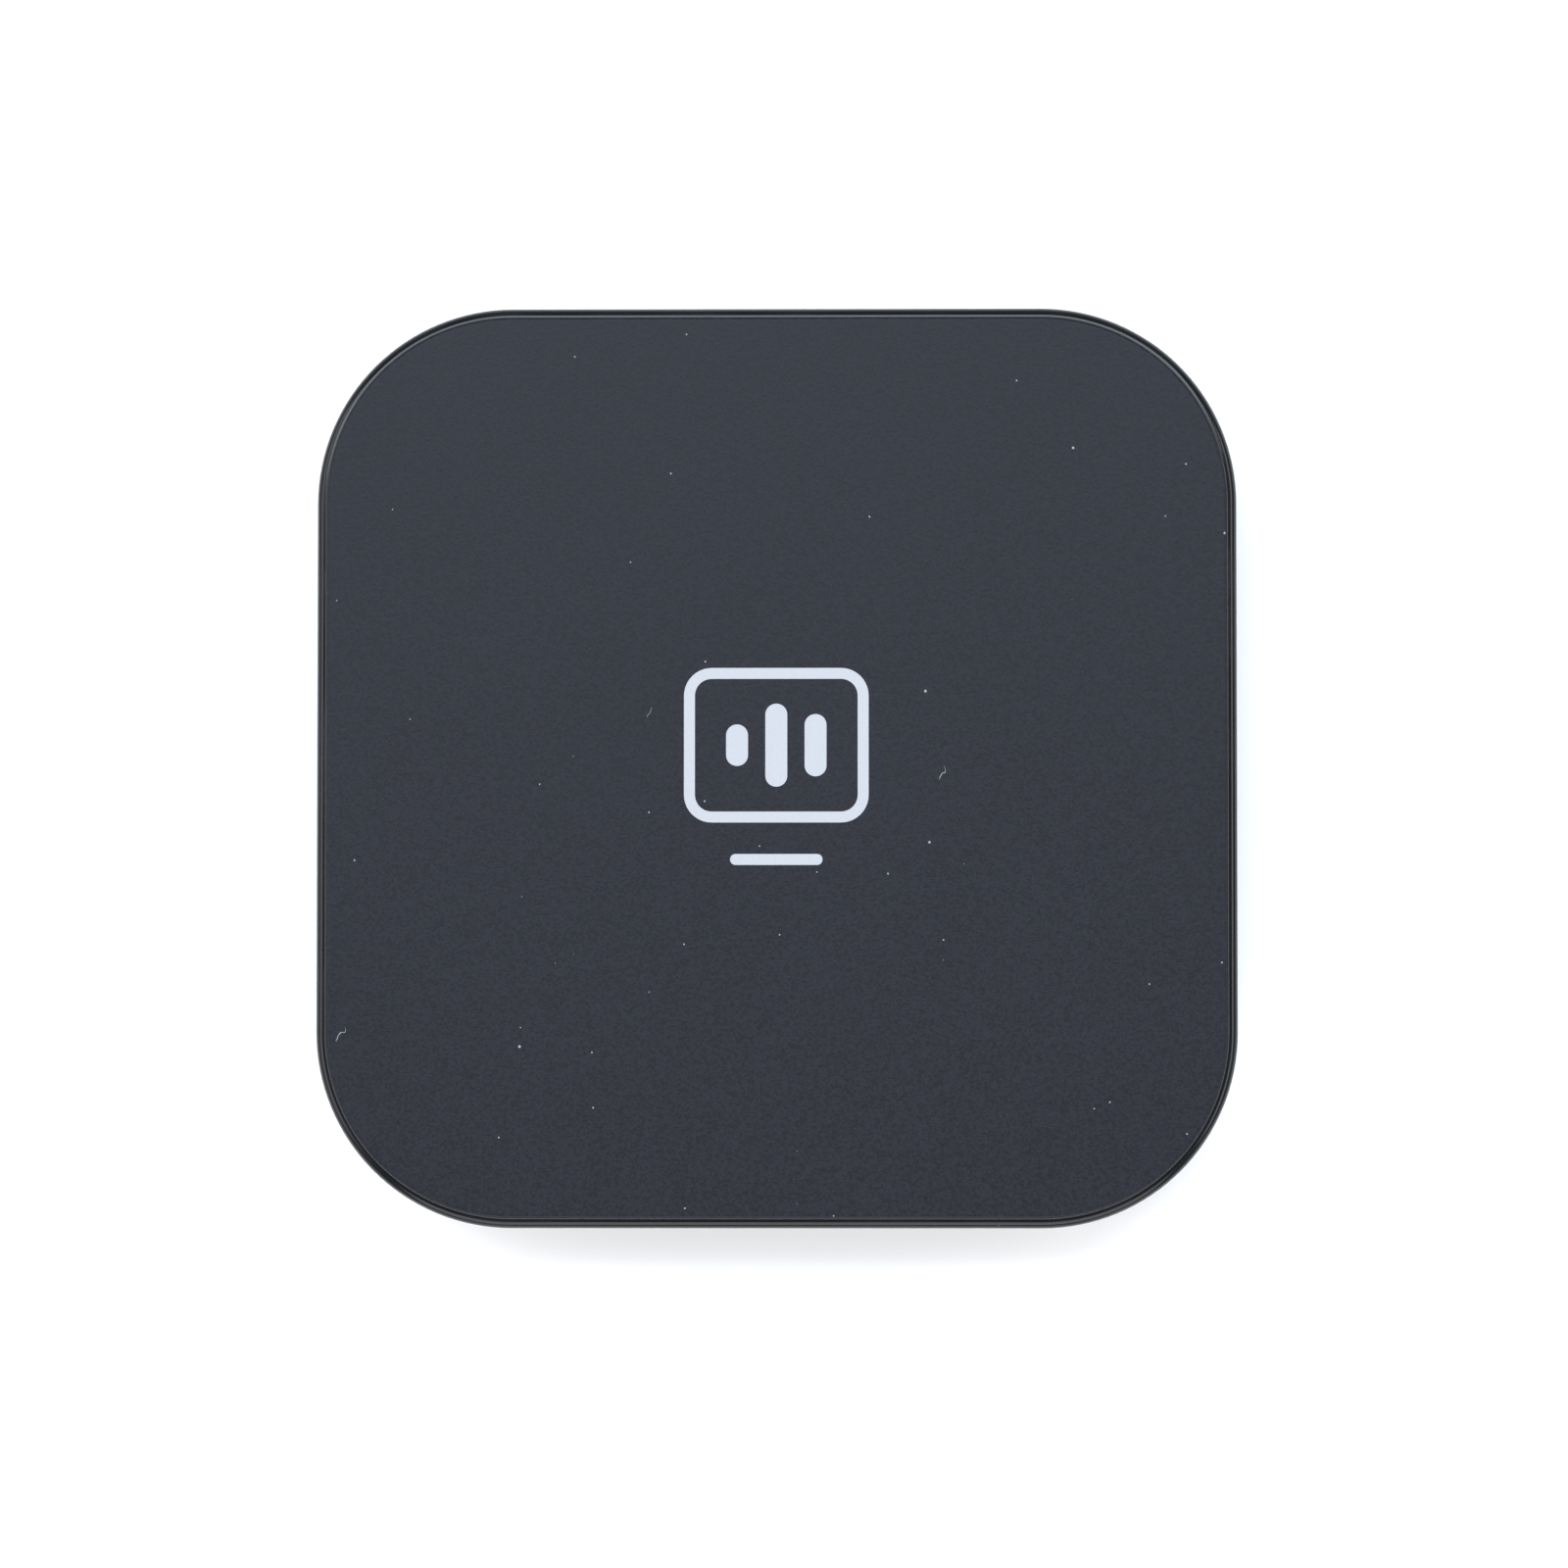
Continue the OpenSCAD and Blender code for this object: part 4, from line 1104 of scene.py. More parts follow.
class MEDIAPLAYER_OT_side_frame(bpy.types.Operator):
    """Gloss side frame with its port openings, card slot, light hole and clip pockets"""
    bl_idname = "media_player.side_frame"
    bl_label = "Side frame"

    def execute(self, context):
        case = sizes("case")
        reach, edge, top = case.corner_radius, case.frame_edge, high("side_frame").z
        inner, bottom = reach - case.wall, low("side_frame").z
        profile = arc(reach - edge, bottom + edge, edge, -90, 0, 10)
        profile += arc(reach - edge, top - edge, edge, 0, 90, 10)
        profile += [(inner + case.seam, top), (inner, top - case.seam),
                    (inner, bottom + case.seam), (inner + case.seam, bottom)]
        ring = new_piece("side_ring", case_shell(profile, closed=True))
        inside, surface, gap, dish = corner_centre() + inner - 1, high("side_frame").x, 0.7, 0.9
        button, pipe = middle("reset_button"), middle("light_pipe")
        card = Vector((0, middle("card_socket_base").y, high("card_socket_base").z - 0.9))
        openings = [("rear", port_centre("video"), lambda grow: video_outline(gap + grow), 0.3),
                    ("rear", port_centre("power"), lambda grow: power_outline(gap + grow), 0.3),
                    ("rear", (button.x, 0, button.z), lambda grow: circle(1.85 + grow), 0.2),
                    ("front", (pipe.x, 0, pipe.z), lambda grow: circle(1.05 + grow, 32), 0.12)]
        for face, centre, outline, flare in openings:
            carved(ring, mouth(face, centre, outline, inside, surface, flare))
        slot, scoop = growing(12.2, 1.5, 0.3), growing(15, 3.6, 1.6, 8)
        carved(ring, mouth("right", card, slot, inside, surface - dish, 0.12))
        carved(ring, mouth("right", card, scoop, surface - dish, surface, 0.2, fillet=0.35))
        carved(ring, clips(0.15))
        settled(shaded(ring), "frame_plastic", "side_frame")
        return {"FINISHED"}


class MEDIAPLAYER_OT_base(bpy.types.Operator):
    """Textured base with its bosses, foot pockets, label recess and air slots"""
    bl_idname = "media_player.base"
    bl_label = "Base"

    def execute(self, context):
        case, vents = sizes("case"), sizes("vents")
        outer, inner = lip_reach()
        lo, hi = low("base_cover"), high("base_cover")
        reach, bottom, top = hi.x - corner_centre(), lo.z, hi.z
        floor, seam = bottom + case.floor, case.seam
        profile = arc(reach - case.base_edge, bottom + case.base_edge, case.base_edge, -90, 0, 14)
        profile += [(reach, case.seam_height - seam), (reach - seam, case.seam_height),
                    (outer, case.seam_height), (outer, top - seam), (outer - seam, top),
                    (inner + seam, top), (inner, top - seam), (inner, floor)]
        base = new_piece("base_tray", case_shell(profile))
        board, posts, fixings = low("main_board").z, footings("case_screws"), footings("board_screws")
        for spots, radius in ((posts, 3.6), (fixings, 2.2)):
            carved(base, turned_at(spots, [(radius, floor - 0.6), (radius, board - 0.15),
                                           (radius - 0.15, board)]), "UNION")
        pocket, head, hole, rim = 4.6, 2.1, 1.15, 0.15
        carved(base, turned_at(posts, [
            (pocket + rim, bottom - 1), (pocket + rim, bottom), (pocket, bottom + rim),
            (pocket, bottom + 0.8), (head, bottom + 0.8), (head, bottom + 2.2), (hole, bottom + 2.2),
            (hole, board + 1)], 48))
        carved(base, turned_at(fixings, [(0.7, floor + 0.01), (0.7, board + 1)], 24))
        label, size = middle("base_label"), high("base_label") - low("base_label")
        carved(base, mouth("under", (label.x, label.y, 0), growing(size.x + 0.6, size.y + 0.6, 1.8, 10),
                           -bottom - 0.25, -bottom, 0.12))
        slot = new_piece("slot", mouth("under", (0, 0, 0), growing(
            vents.width, vents.run, vents.width / 2 - 0.01), -floor - 1, -bottom, 0.3))
        grid_cut_tree().on(base, Cutter=slot, Columns=vents.columns, Rows=vents.rows,
                                     Pitch=vents.pitch * MM, Row_pitch=vents.row_pitch * MM,
                                     Middle=(0.0, vents.middle * MM, 0.0), Finish=material("base_plastic"))
        bpy.data.objects.remove(slot)
        settled(shaded(base), "base_plastic", "base_cover")
        return {"FINISHED"}


class MEDIAPLAYER_OT_feet(bpy.types.Operator):
    """Four rubber feet, dished underneath"""
    bl_idname = "media_player.feet"
    bl_label = "Feet"

    def execute(self, context):
        top, radius = high("rubber_feet").z, (high("rubber_feet").x - footings("rubber_feet")[-1].x)
        profile = [(0.4, 0.18), (2.4, 0.18), (2.62, 0.04), (2.75, 0)]
        profile += [(radius - 0.75, 0), (radius - 0.55, 0.06), (radius - 0.08, 0.45), (radius, 0.65),
                    (radius, top - 0.12), (radius - 0.12, top)]
        repeated("feet", footings("rubber_feet"), new_piece("part", turned("top", (0, 0, 0), profile)),
                 "foot_rubber", "rubber_feet")
        return {"FINISHED"}


def cross(long, wide):
    """Outline of a cross recess."""
    a, b = long / 2, wide / 2
    return [(b, b), (b, a), (-b, a), (-b, b), (-a, b), (-a, -b), (-b, -b), (-b, -a), (b, -a), (b, -b),
            (a, -b), (a, b)]


def thread(radius, pitch, start, end, steps):
    """Stations of a screw's thread, which tapers at its tip."""
    rows, tip, depth = round((end - start) / pitch * 8), 0.8, 0.18 * radius
    stations = []
    for row in range(rows + 1):
        height = start + (end - start) * row / rows
        taper = min(1, 0.5 + (end - height) / tip / 2)
        ring = []
        for k, (u, v) in enumerate(circle(1, steps)):
            crest = abs(((height - start) / pitch - k / steps) % 1 - 0.5) * 2
            grown = taper * (radius - depth * min(1, 1.6 * crest))
            ring.append((u * grown, v * grown))
        stations.append((ring, height))
    return stations


def screws(name, node, face, head, neck, radius, pitch, recess):
    """Screws that run out of a face. Profile, neck and recess are measured from the head's own top."""
    start, end = (low(node).z, high(node).z) if face == "top" else (-high(node).z, -low(node).z)
    steps = 24
    stations = [(circle(reach, steps), start + depth) for reach, depth in head]
    stations += thread(radius, pitch, start + neck, end, steps)
    part = new_piece("part", solid(face, (0, 0, 0), stations))
    floor, long, wide = recess
    carved(part, solid(face, (0, 0, 0), [(cross(long, wide), start - 1), (cross(long, wide), start),
                                         (cross(long * 0.6, wide * 0.8), start + floor)]))
    places = [(spot.x, spot.y, 0) for spot in footings(node)]
    repeated(name, places, part, "screw_steel", node, random_turn=math.pi / 2)


class MEDIAPLAYER_OT_screws(bpy.types.Operator):
    """Case screws, and the screws that hold the board"""
    bl_idname = "media_player.screws"
    bl_label = "Screws"

    def execute(self, context):
        screws("long_screws", "case_screws", "top", neck=1.35, radius=1.0, pitch=0.8, recess=(0.7, 2.2, 0.42),
               head=[(1.45, 0), (1.72, 0.08), (1.86, 0.26), (1.9, 0.5), (1.9, 1.25), (0.95, 1.25)])
        screws("short_screws", "board_screws", "under", neck=0.86, radius=0.8, pitch=0.6,
               recess=(0.5, 1.8, 0.36),
               head=[(1.1, 0), (1.32, 0.06), (1.46, 0.2), (1.5, 0.4), (1.5, 0.8), (0.72, 0.8)])
        return {"FINISHED"}


class MEDIAPLAYER_OT_label(bpy.types.Operator):
    """Blank rating label in its recess under the base"""
    bl_idname = "media_player.label"
    bl_label = "Label"

    def execute(self, context):
        lo, hi = low("base_label"), high("base_label")
        size, centre = hi - lo, middle("base_label")
        outline = growing(size.x, size.y, 1.5, 10)
        label = new_piece("rating_label", slab("top", (centre.x, centre.y, 0), outline, lo.z, hi.z, 0.03))
        settled(shaded(label), "label_film", "base_label")
        return {"FINISHED"}


# --- Board --------------------------------------------------------------------------------------------


class MEDIAPLAYER_OT_boards(bpy.types.Operator):
    """Main circuit board, and the radio's own board with its half-round edge contacts"""
    bl_idname = "media_player.boards"
    bl_label = "Circuit boards"

    def execute(self, context):
        lo, hi = low("main_board"), high("main_board")
        outline = growing(2 * hi.x, 2 * hi.x, hi.x - corner_centre(), 20)
        board = new_piece("circuit_board", slab("top", (0, 0, 0), outline, lo.z, hi.z, 0.06))
        for node, radius in (("case_screws", 1.15), ("board_screws", 0.95)):
            carved(board, turned_at(footings(node), [(radius, lo.z - 1), (radius, hi.z + 1)], 32))
        settled(shaded(board), "board_laminate", "main_board")
        lo, hi, centre = low("radio_board"), high("radio_board"), middle("radio_board")
        radio = new_piece("radio_module", block(lo, hi, 0.06))
        pitch, count = 1.27, 8
        notches = [Vector((edge, centre.y + (i - (count - 1) / 2) * pitch, 0))
                   for edge in (lo.x, hi.x) for i in range(count)]
        carved(radio, turned_at(notches, [(0.28, lo.z - 1), (0.28, hi.z + 1)], 16))
        settled(shaded(radio), "board_laminate", "radio_board")
        return {"FINISHED"}


def package(size, step, inset):
    """A moulded chip that stands on a wider foot, with a dimple at pin 1."""
    outline, rim, dimple = growing(size.x, size.y, 0.45, 3), 0.1, 0.42
    stations = [(outline(0), 0), (outline(0), step), (outline(-inset), step),
                (outline(-inset), size.z - rim), (outline(-inset - rim), size.z)]
    part = new_piece("part", solid("top", (0, 0, 0), stations))
    spot = (dimple * 3 - size.x / 2, size.y / 2 - dimple * 3, 0)
    return carved(part, turned("top", spot, [(dimple * 0.5, size.z - 0.1), (dimple * 0.9, size.z - 0.04),
                                             (dimple, size.z + 0.1)], 24))


class MEDIAPLAYER_OT_chips(bpy.types.Operator):
    """Processor, memory, storage, power and video chips"""
    bl_idname = "media_player.chips"
    bl_label = "Chips"

    def execute(self, context):
        names = {"soc_chip": "processor", "memory_chips": "memory", "flash_chip": "storage",
                 "power_chip": "power_regulator", "video_chip": "video_driver"}
        leaded = ("power_chip", "video_chip")
        for node, name in names.items():
            step, inset = (0.2, 0.04) if node in leaded else (0.3, 0.25)
            repeated(name, footings(node), package(one_size(node), step, inset), "chip_resin", node)
        places, turns, pitch = [], [], 0.6
        for node in leaded:
            centre, reach = footings(node)[0], (high(node).x - low(node).x) / 2
            count = round(2 * (reach - 0.5) / pitch) + 1
            for side in range(4):
                for i in range(count):
                    across = (i - (count - 1) / 2) * pitch
                    turn = side * math.pi / 2
                    places.append(centre + Vector((reach * math.cos(turn) - across * math.sin(turn),
                                                   reach * math.sin(turn) + across * math.cos(turn), 0)))
                    turns.append(turn)
        lead = new_piece("part", block((-0.4, -0.13, 0.01), (0.03, 0.13, 0.22), 0.02, 1))
        repeated("chip_leads", places, lead, "plated_steel", turns=turns)
        return {"FINISHED"}


class MEDIAPLAYER_OT_passives(bpy.types.Operator):
    """Inductors, capacitors and the crystal"""
    bl_idname = "media_player.passives"
    bl_label = "Inductors and capacitors"

    def execute(self, context):
        self.inductors()
        self.can_capacitors()
        self.chip_capacitors()
        self.crystal()
        return {"FINISHED"}

    def inductors(self):
        """Square inductors with a dished round top."""
        size = one_size("power_inductors")
        part = new_piece("part", slab("top", (0, 0, 0), growing(size.x, size.y, 0.9, 5), 0, size.z, 0.15))
        carved(part, mouth("top", (0, 0, 0), lambda grow: circle(1.2 + grow, 32), size.z - 0.2, size.z, 0.1,
                           fillet=0.08))
        repeated("inductors", footings("power_inductors"), part, "ferrite", "power_inductors")

    def can_capacitors(self):
        """Cans with a pinched waist and a scored top, on plinths with two clipped corners."""
        size = one_size("bulk_capacitors")
        half, foot, radius, clip = size.x / 2, 0.9, 2.4, 0.9
        plinth = [(half, half - clip), (half - clip, half), (-half + 0.2, half), (-half, half - 0.2),
                  (-half, 0.2 - half), (0.2 - half, -half), (half - clip, -half), (half, clip - half)]
        inner = [(u * 0.95, v * 0.95) for u, v in plinth]
        can = [(radius - 0.1, foot - 0.05), (radius, foot + 0.1), (radius, foot + 0.7),
               (radius - 0.16, foot + 0.85), (radius - 0.16, foot + 0.95), (radius, foot + 1.1),
               (radius, size.z - 0.3), (radius - 0.09, size.z - 0.09), (radius - 0.3, size.z)]
        part = new_piece("part", solid("top", (0, 0, 0), [(plinth, 0), (plinth, foot - 0.1), (inner, foot)]))
        carved(part, turned("top", (0, 0, 0), can, 40), "UNION")
        carved(part, solid("top", (0, 0, 0), [(cross(3.2, 0.1), size.z - 0.06),
                                              (cross(3.4, 0.22), size.z + 0.1)]))
        repeated("can_capacitors", footings("bulk_capacitors"), part, "can_aluminium", "bulk_capacitors")

    def chip_capacitors(self):
        """Small ceramic blocks with plated ends."""
        places, turns = footings("chip_capacitors"), []
        for lo, hi in islands("chip_capacitors"):
            turns.append(math.pi / 2 if hi.y - lo.y > hi.x - lo.x else 0.0)
        half, high_end, wide = 0.8, 0.8, 0.4
        body = new_piece("part", block((0.3 - half, 0.03 - wide, 0.03),
                                       (half - 0.3, wide - 0.03, high_end - 0.03), 0.05, 1))
        repeated("capacitor_bodies", places, body, "ceramic", "chip_capacitors", turns=turns)
        ends = joined(block((start, -wide, 0), (start + 0.36, wide, high_end), 0.09, 1)
                      for start in (-half, half - 0.36))
        repeated("capacitor_ends", places, new_piece("part", ends), "plated_steel", turns=turns)

    def crystal(self):
        """A pressed metal can on a wider foot."""
        lo, hi = low("crystal"), high("crystal")
        size, centre = hi - lo, footings("crystal")[0]
        outline = growing(size.x, size.y, 0.4, 5)
        crystal = new_piece("crystal_can", solid("top", centre, [
            (outline(0), 0), (outline(0), 0.35), (outline(-0.18), 0.37), (outline(-0.18), 0.68),
            (outline(-0.22), 0.77), (outline(-0.32), size.z)]))
        settled(shaded(crystal), "plated_steel", "crystal")


def sheet_can(lo, hi, wall, corner, edge):
    """A can pressed from thin sheet, open below."""
    size, centre = hi - lo, (lo + hi) / 2
    outline, ceiling = growing(size.x, size.y, corner, 5), size.z - wall
    stations = [(outline(-wall - edge / 2), ceiling), (outline(-wall), ceiling - edge / 2),
                (outline(-wall), 0), (outline(0), 0)]
    stations += [(outline(u - edge), size.z - edge + v) for u, v in arc(0, 0, edge, 0, 90, 4)]
    return solid("top", (centre.x, centre.y, lo.z), stations)


class MEDIAPLAYER_OT_shielding(bpy.types.Operator):
    """Pressed shields over the processor and the radio"""
    bl_idname = "media_player.shielding"
    bl_label = "Shields"

    def execute(self, context):
        lo, hi, centre = low("shield_can"), high("shield_can"), middle("shield_can")
        can = new_piece("processor_shield", sheet_can(lo, hi, 0.2, 0.8, 0.3))
        hole = new_piece("hole", turned("top", (0, 0, 0), [(0.45, 0), (0.45, 2)], 16))
        columns, pitch, row_pitch = 14, 2, 20
        grid_cut_tree().on(can, Cutter=hole, Columns=columns, Rows=2, Pitch=pitch * MM,
                                     Row_pitch=row_pitch * MM, Finish=material("plated_steel"),
                                     Middle=(centre.x * MM, centre.y * MM, (hi.z - 1) * MM))
        bpy.data.objects.remove(hole)
        settled(shaded(can), "plated_steel", "shield_can")
        lo, hi = low("radio_shield"), high("radio_shield")
        lid = new_piece("radio_cover", sheet_can(lo, hi, 0.15, 0.7, 0.25))
        spots = [Vector((u, v, 0)) for u in (lo.x + 1.2, hi.x - 1.2) for v in (lo.y + 1.2, hi.y - 1.2)]
        carved(lid, turned_at(spots, [(0.25, hi.z - 0.07), (0.35, hi.z + 0.1)], 16))
        settled(shaded(lid), "plated_steel", "radio_shield")
        return {"FINISHED"}


class MEDIAPLAYER_OT_cooling(bpy.types.Operator):
    """Thermal pads and the finned heat sink"""
    bl_idname = "media_player.cooling"
    bl_label = "Heat sink and pads"

    def execute(self, context):
        for name, node in (("lower_pad", "inner_thermal_pad"), ("upper_pad", "outer_thermal_pad")):
            lo, hi = low(node), high(node)
            pad = new_piece(name, block(lo, hi, 0.28, 4))
            settled(shaded(pad), "thermal_gel", node)
        lo, hi, centre = low("heat_sink"), high("heat_sink"), middle("heat_sink")
        plate, thick, count, tip = 1.2, 1.0, 10, 0.3
        pitch = (hi.x - lo.x - thick) / (count - 1)
        comb = []
        for i in reversed(range(count)):
            fin = lo.x - centre.x + thick / 2 + i * pitch
            root = thick / 2 if i == 0 or i == count - 1 else thick / 2 + 0.12
            comb += [] if i == count - 1 else [(fin + root, lo.z + plate)]
            comb += arc(fin + thick / 2 - tip, hi.z - tip, tip, 0, 90, 3)
            comb += arc(fin - thick / 2 + tip, hi.z - tip, tip, 90, 180, 3)
            comb += [] if i == 0 else [(fin - root, lo.z + plate)]
        comb += [(lo.x - centre.x, lo.z), (hi.x - centre.x, lo.z)]
        sink = new_piece("finned_sink", solid("front", (centre.x, 0, 0), [(comb, -hi.y), (comb, -lo.y)]))
        settled(shaded(eased(sink, 0.06, 1)), "sink_aluminium", "heat_sink")
        return {"FINISHED"}


# --- Radio --------------------------------------------------------------------------------------------


def smooth_route(route, steps):
    """A smooth curve through a route's points."""
    points = [Vector(point) for point in route]
    points = [2 * points[0] - points[1]] + points + [2 * points[-1] - points[-2]]
    curve = []
    for a, b, c, d in zip(points, points[1:], points[2:], points[3:]):
        for step in range(steps):
            t = step / steps
            curve.append((2 * b + (c - a) * t + (2 * a - 5 * b + 4 * c - d) * t ** 2
                          + (3 * b - a - 3 * c + d) * t ** 3) / 2)
    return curve + [points[-2]]


def cable(name, node, route):
    """A thin round cable along a route, in millimetres."""
    points, radius = smooth_route(route, 8), 0.55
    mesh = bpy.data.meshes.new(name)
    mesh.from_pydata([point * MM for point in points], [(i, i + 1) for i in range(len(points) - 1)], [])
    piece = new_object(name, mesh)
    sleeve_tree().on(piece, Radius=radius * MM, Finish=material("cable_jacket"))
    settled(shaded(piece), "cable_jacket", node)


def aerial(name, node, face, slots):
    """A stamped aerial that lies along a face of the case, with its slots cut out."""
    sheet = new_piece(name, block(low(node), high(node), 0.04, 1))
    cutters = []
    for across, up, run in slots:
        spot, slot = middle(node) + FACES[face][0] * across + Z * up, rounded(run, 0.7, 0.34, 4)
        cutters.append(solid(face, spot, [(slot, -1), (slot, 1)]))
    settled(shaded(carved(sheet, joined(cutters))), "gilt_brass", node)


class MEDIAPLAYER_OT_radio(bpy.types.Operator):
    """Aerials, their plugs and sockets, and their cables"""
    bl_idname = "media_player.radio"
    bl_label = "Aerials and cables"

    def execute(self, context):
        aerial("side_aerial", "antenna_left", "left", [(5, 1.4, 10), (5, -0.4, 10), (-5.5, 1.2, 7)])
        aerial("front_aerial", "antenna_front", "front", [(4, 1.4, 7.5), (4, -0.4, 7.5), (-4.5, 1.2, 5)])
        top = high("main_board").z
        self.plugs([(spot.x, spot.y, top) for spot in footings("antenna_sockets")])
        self.cables(top + 0.93)
        return {"FINISHED"}

    def plugs(self, spots):
        """Sockets on the board, and the round plugs with a square ferrule that sit on them."""
        socket = new_piece("part", block((-1.3, -1.3, 0), (1.3, 1.3, 0.35), 0.1))
        carved(socket, turned("top", (0, 0, 0), [(0.3, 0.2), (0.3, 0.7), (0.2, 0.8)], 20), "UNION")
        repeated("aerial_sockets", spots, socket, "gilt_brass", "antenna_sockets")
        radius, low_end, high_end, edge = 1.15, 0.35, 1.4, 0.2
        profile = [(radius, low_end)] + arc(radius - edge, high_end - edge, edge, 0, 90, 4)
        profile += [(0.7, high_end), (0.6, high_end - 0.06)]
        plug = new_piece("part", turned("top", (0, 0, 0), profile, 40))
        ferrule = block((-0.8, -2.4, low_end + 0.02), (0.8, 0, high_end - 0.02), 0.22, 3)
        carved(plug, ferrule, "UNION")
        carved(plug, turned("top", (0, 0, 0), [(0.75, -0.1), (0.75, 0.85)], 32))
        turns = [-math.pi / 2, 0.0]
        repeated("aerial_plugs", spots, plug, "gilt_brass", "antenna_plugs", turns=turns)

    def cables(self, level):
        """Cables that leave their plugs at one level, and rise to the aerials at the wall."""
        wall = -high("side_frame").x + sizes("case").wall + 0.85
        cable("side_aerial_cable", "antenna_cable_left", [
            (-31.4, -10.6, level), (-32.6, -10.6, level), (-34.6, -10, level + 0.2),
            (-36.4, -7.6, level + 1.2), (wall, -4.8, level + 2), (wall, -2, level + 2)])
        cable("front_aerial_cable", "antenna_cable_front", [
            (-23, -13, level), (-23, -14.4, level), (-22.4, -17, level), (-22, -22, level),
            (-21.6, -27, level), (-19.6, -31, level), (-15, -32.6, level), (-8, -32.8, level),
            (-1, -32.4, level), (3.4, -33.4, level + 0.4), (6.4, -36, level + 1.4),
            (10, wall, level + 2), (13, wall, level + 2)])


# --- Connectors ---------------------------------------------------------------------------------------


def port_shell(name, node, centre, outline, back, front, feet):
    """A drawn connector shell, open to the rear, with its feet on the board."""
    wall, lip = PORT_WALL, 0.12
    stations = [(outline(wall), back), (outline(wall), front - lip), (outline(wall - lip), front),
                (outline(lip), front), (outline(0), front - lip), (outline(0), back + wall)]
    shell = new_piece(name, solid("rear", centre, stations))
    for foot in feet:
        carved(shell, foot, "UNION")
    return settled(shaded(shell), "plated_steel", node)


def port_body(kind, centre, outline, filled, reach, wide, thick):
    """A connector's moulded body, which fills the shell's back, with its tongue reaching out of it."""
    pins = f"{kind}_port_contacts"
    back, level = low(f"{kind}_port_shell").y, middle(pins).z
    end = back + filled
    body = new_piece(f"{kind}_tongue", solid("rear", centre, [
        (outline(-0.03), back + 0.3), (outline(-0.03), end - 0.1), (outline(-0.12), end)]))
    carved(body, block((centre.x - wide / 2, end - 0.4, level - thick / 2),
                       (centre.x + wide / 2, end + reach, level + thick / 2), 0.2 * thick, 3), "UNION")
    settled(shaded(body), "connector_plastic", f"{kind}_port_tongue")
    half = one_size(pins) / 2
    part = new_piece("part", block(-half, half, 0.03, 1))
    repeated(f"{kind}_contacts", centres(pins), part, "gilt_brass", pins)


def spring_fingers(name, centre, places, start, end, gap, wide):
    """Bowed spring fingers inside a shell, above and below, that grip the plug."""
    bow, thick = 0.22, 0.12
    upper = [(start + (end - start) * i / 10, -bow * math.sin(math.pi * i / 10) ** 2) for i in range(11)]
    fingers = []
    for across in places:
        for side in (1, -1):
            strip = [(y, side * (gap + z)) for y, z in upper] + [
                (y, side * (gap + z - thick)) for y, z in reversed(upper)]
            strip = strip if side < 0 else strip[::-1]
            fingers.append(solid("right", (0, 0, centre.z), [
                (strip, centre.x + across - wide / 2), (strip, centre.x + across + wide / 2)]))
    return settled(shaded(new_piece(name, joined(fingers))), "spring_steel")


class MEDIAPLAYER_OT_video_port(bpy.types.Operator):
    """Video connector with its shell, spring fingers, tongue and contacts"""
    bl_idname = "media_player.video_port"
    bl_label = "Video port"

    def execute(self, context):
        centre, lo, hi = port_centre("video"), low("video_port_shell"), high("video_port_shell")
        back, reach = lo.y, OPENINGS["video"][0] / 2
        feet = [block((centre.x - 4.5, back + 1, lo.z), (centre.x + 4.5, back + 9, centre.z - 2.4), 0.1)]
        feet += [block((edge, y, lo.z), (edge + PORT_WALL, y + 1.6, centre.z), 0.06)
                 for edge in (centre.x - reach - PORT_WALL, centre.x + reach) for y in (back + 1.5, back + 7)]
        port_shell("video_shell", "video_port_shell", centre, video_outline, back, hi.y, feet)
        spring_fingers("video_springs", centre, (-3.6, 3.6), hi.y - 6.5, hi.y - 1.2, 2.27, 1.8)
        port_body("video", centre, video_outline, filled=4.2, reach=6.5, wide=11.8, thick=1.4)
        return {"FINISHED"}


class MEDIAPLAYER_OT_power_port(bpy.types.Operator):
    """Power connector with its shell, tongue and contacts"""
    bl_idname = "media_player.power_port"
    bl_label = "Power port"

    def execute(self, context):
        centre, lo, hi = port_centre("power"), low("power_port_shell"), high("power_port_shell")
        back, reach = lo.y, hi.x - centre.x
        feet = [block((centre.x - 2.5, back + 0.6, lo.z), (centre.x + 2.5, back + 4.2, centre.z - 1.45),
                      0.08)]
        feet += [block((edge, y, lo.z), (edge + PORT_WALL, y + 1.2, centre.z), 0.06)
                 for edge in (centre.x - reach, centre.x + reach - PORT_WALL)
                 for y in (back + 0.6, back + 4)]
        port_shell("power_shell", "power_port_shell", centre, power_outline, back, hi.y, feet)
        port_body("power", centre, power_outline, filled=2, reach=4.6, wide=6.7, thick=0.7)
        return {"FINISHED"}


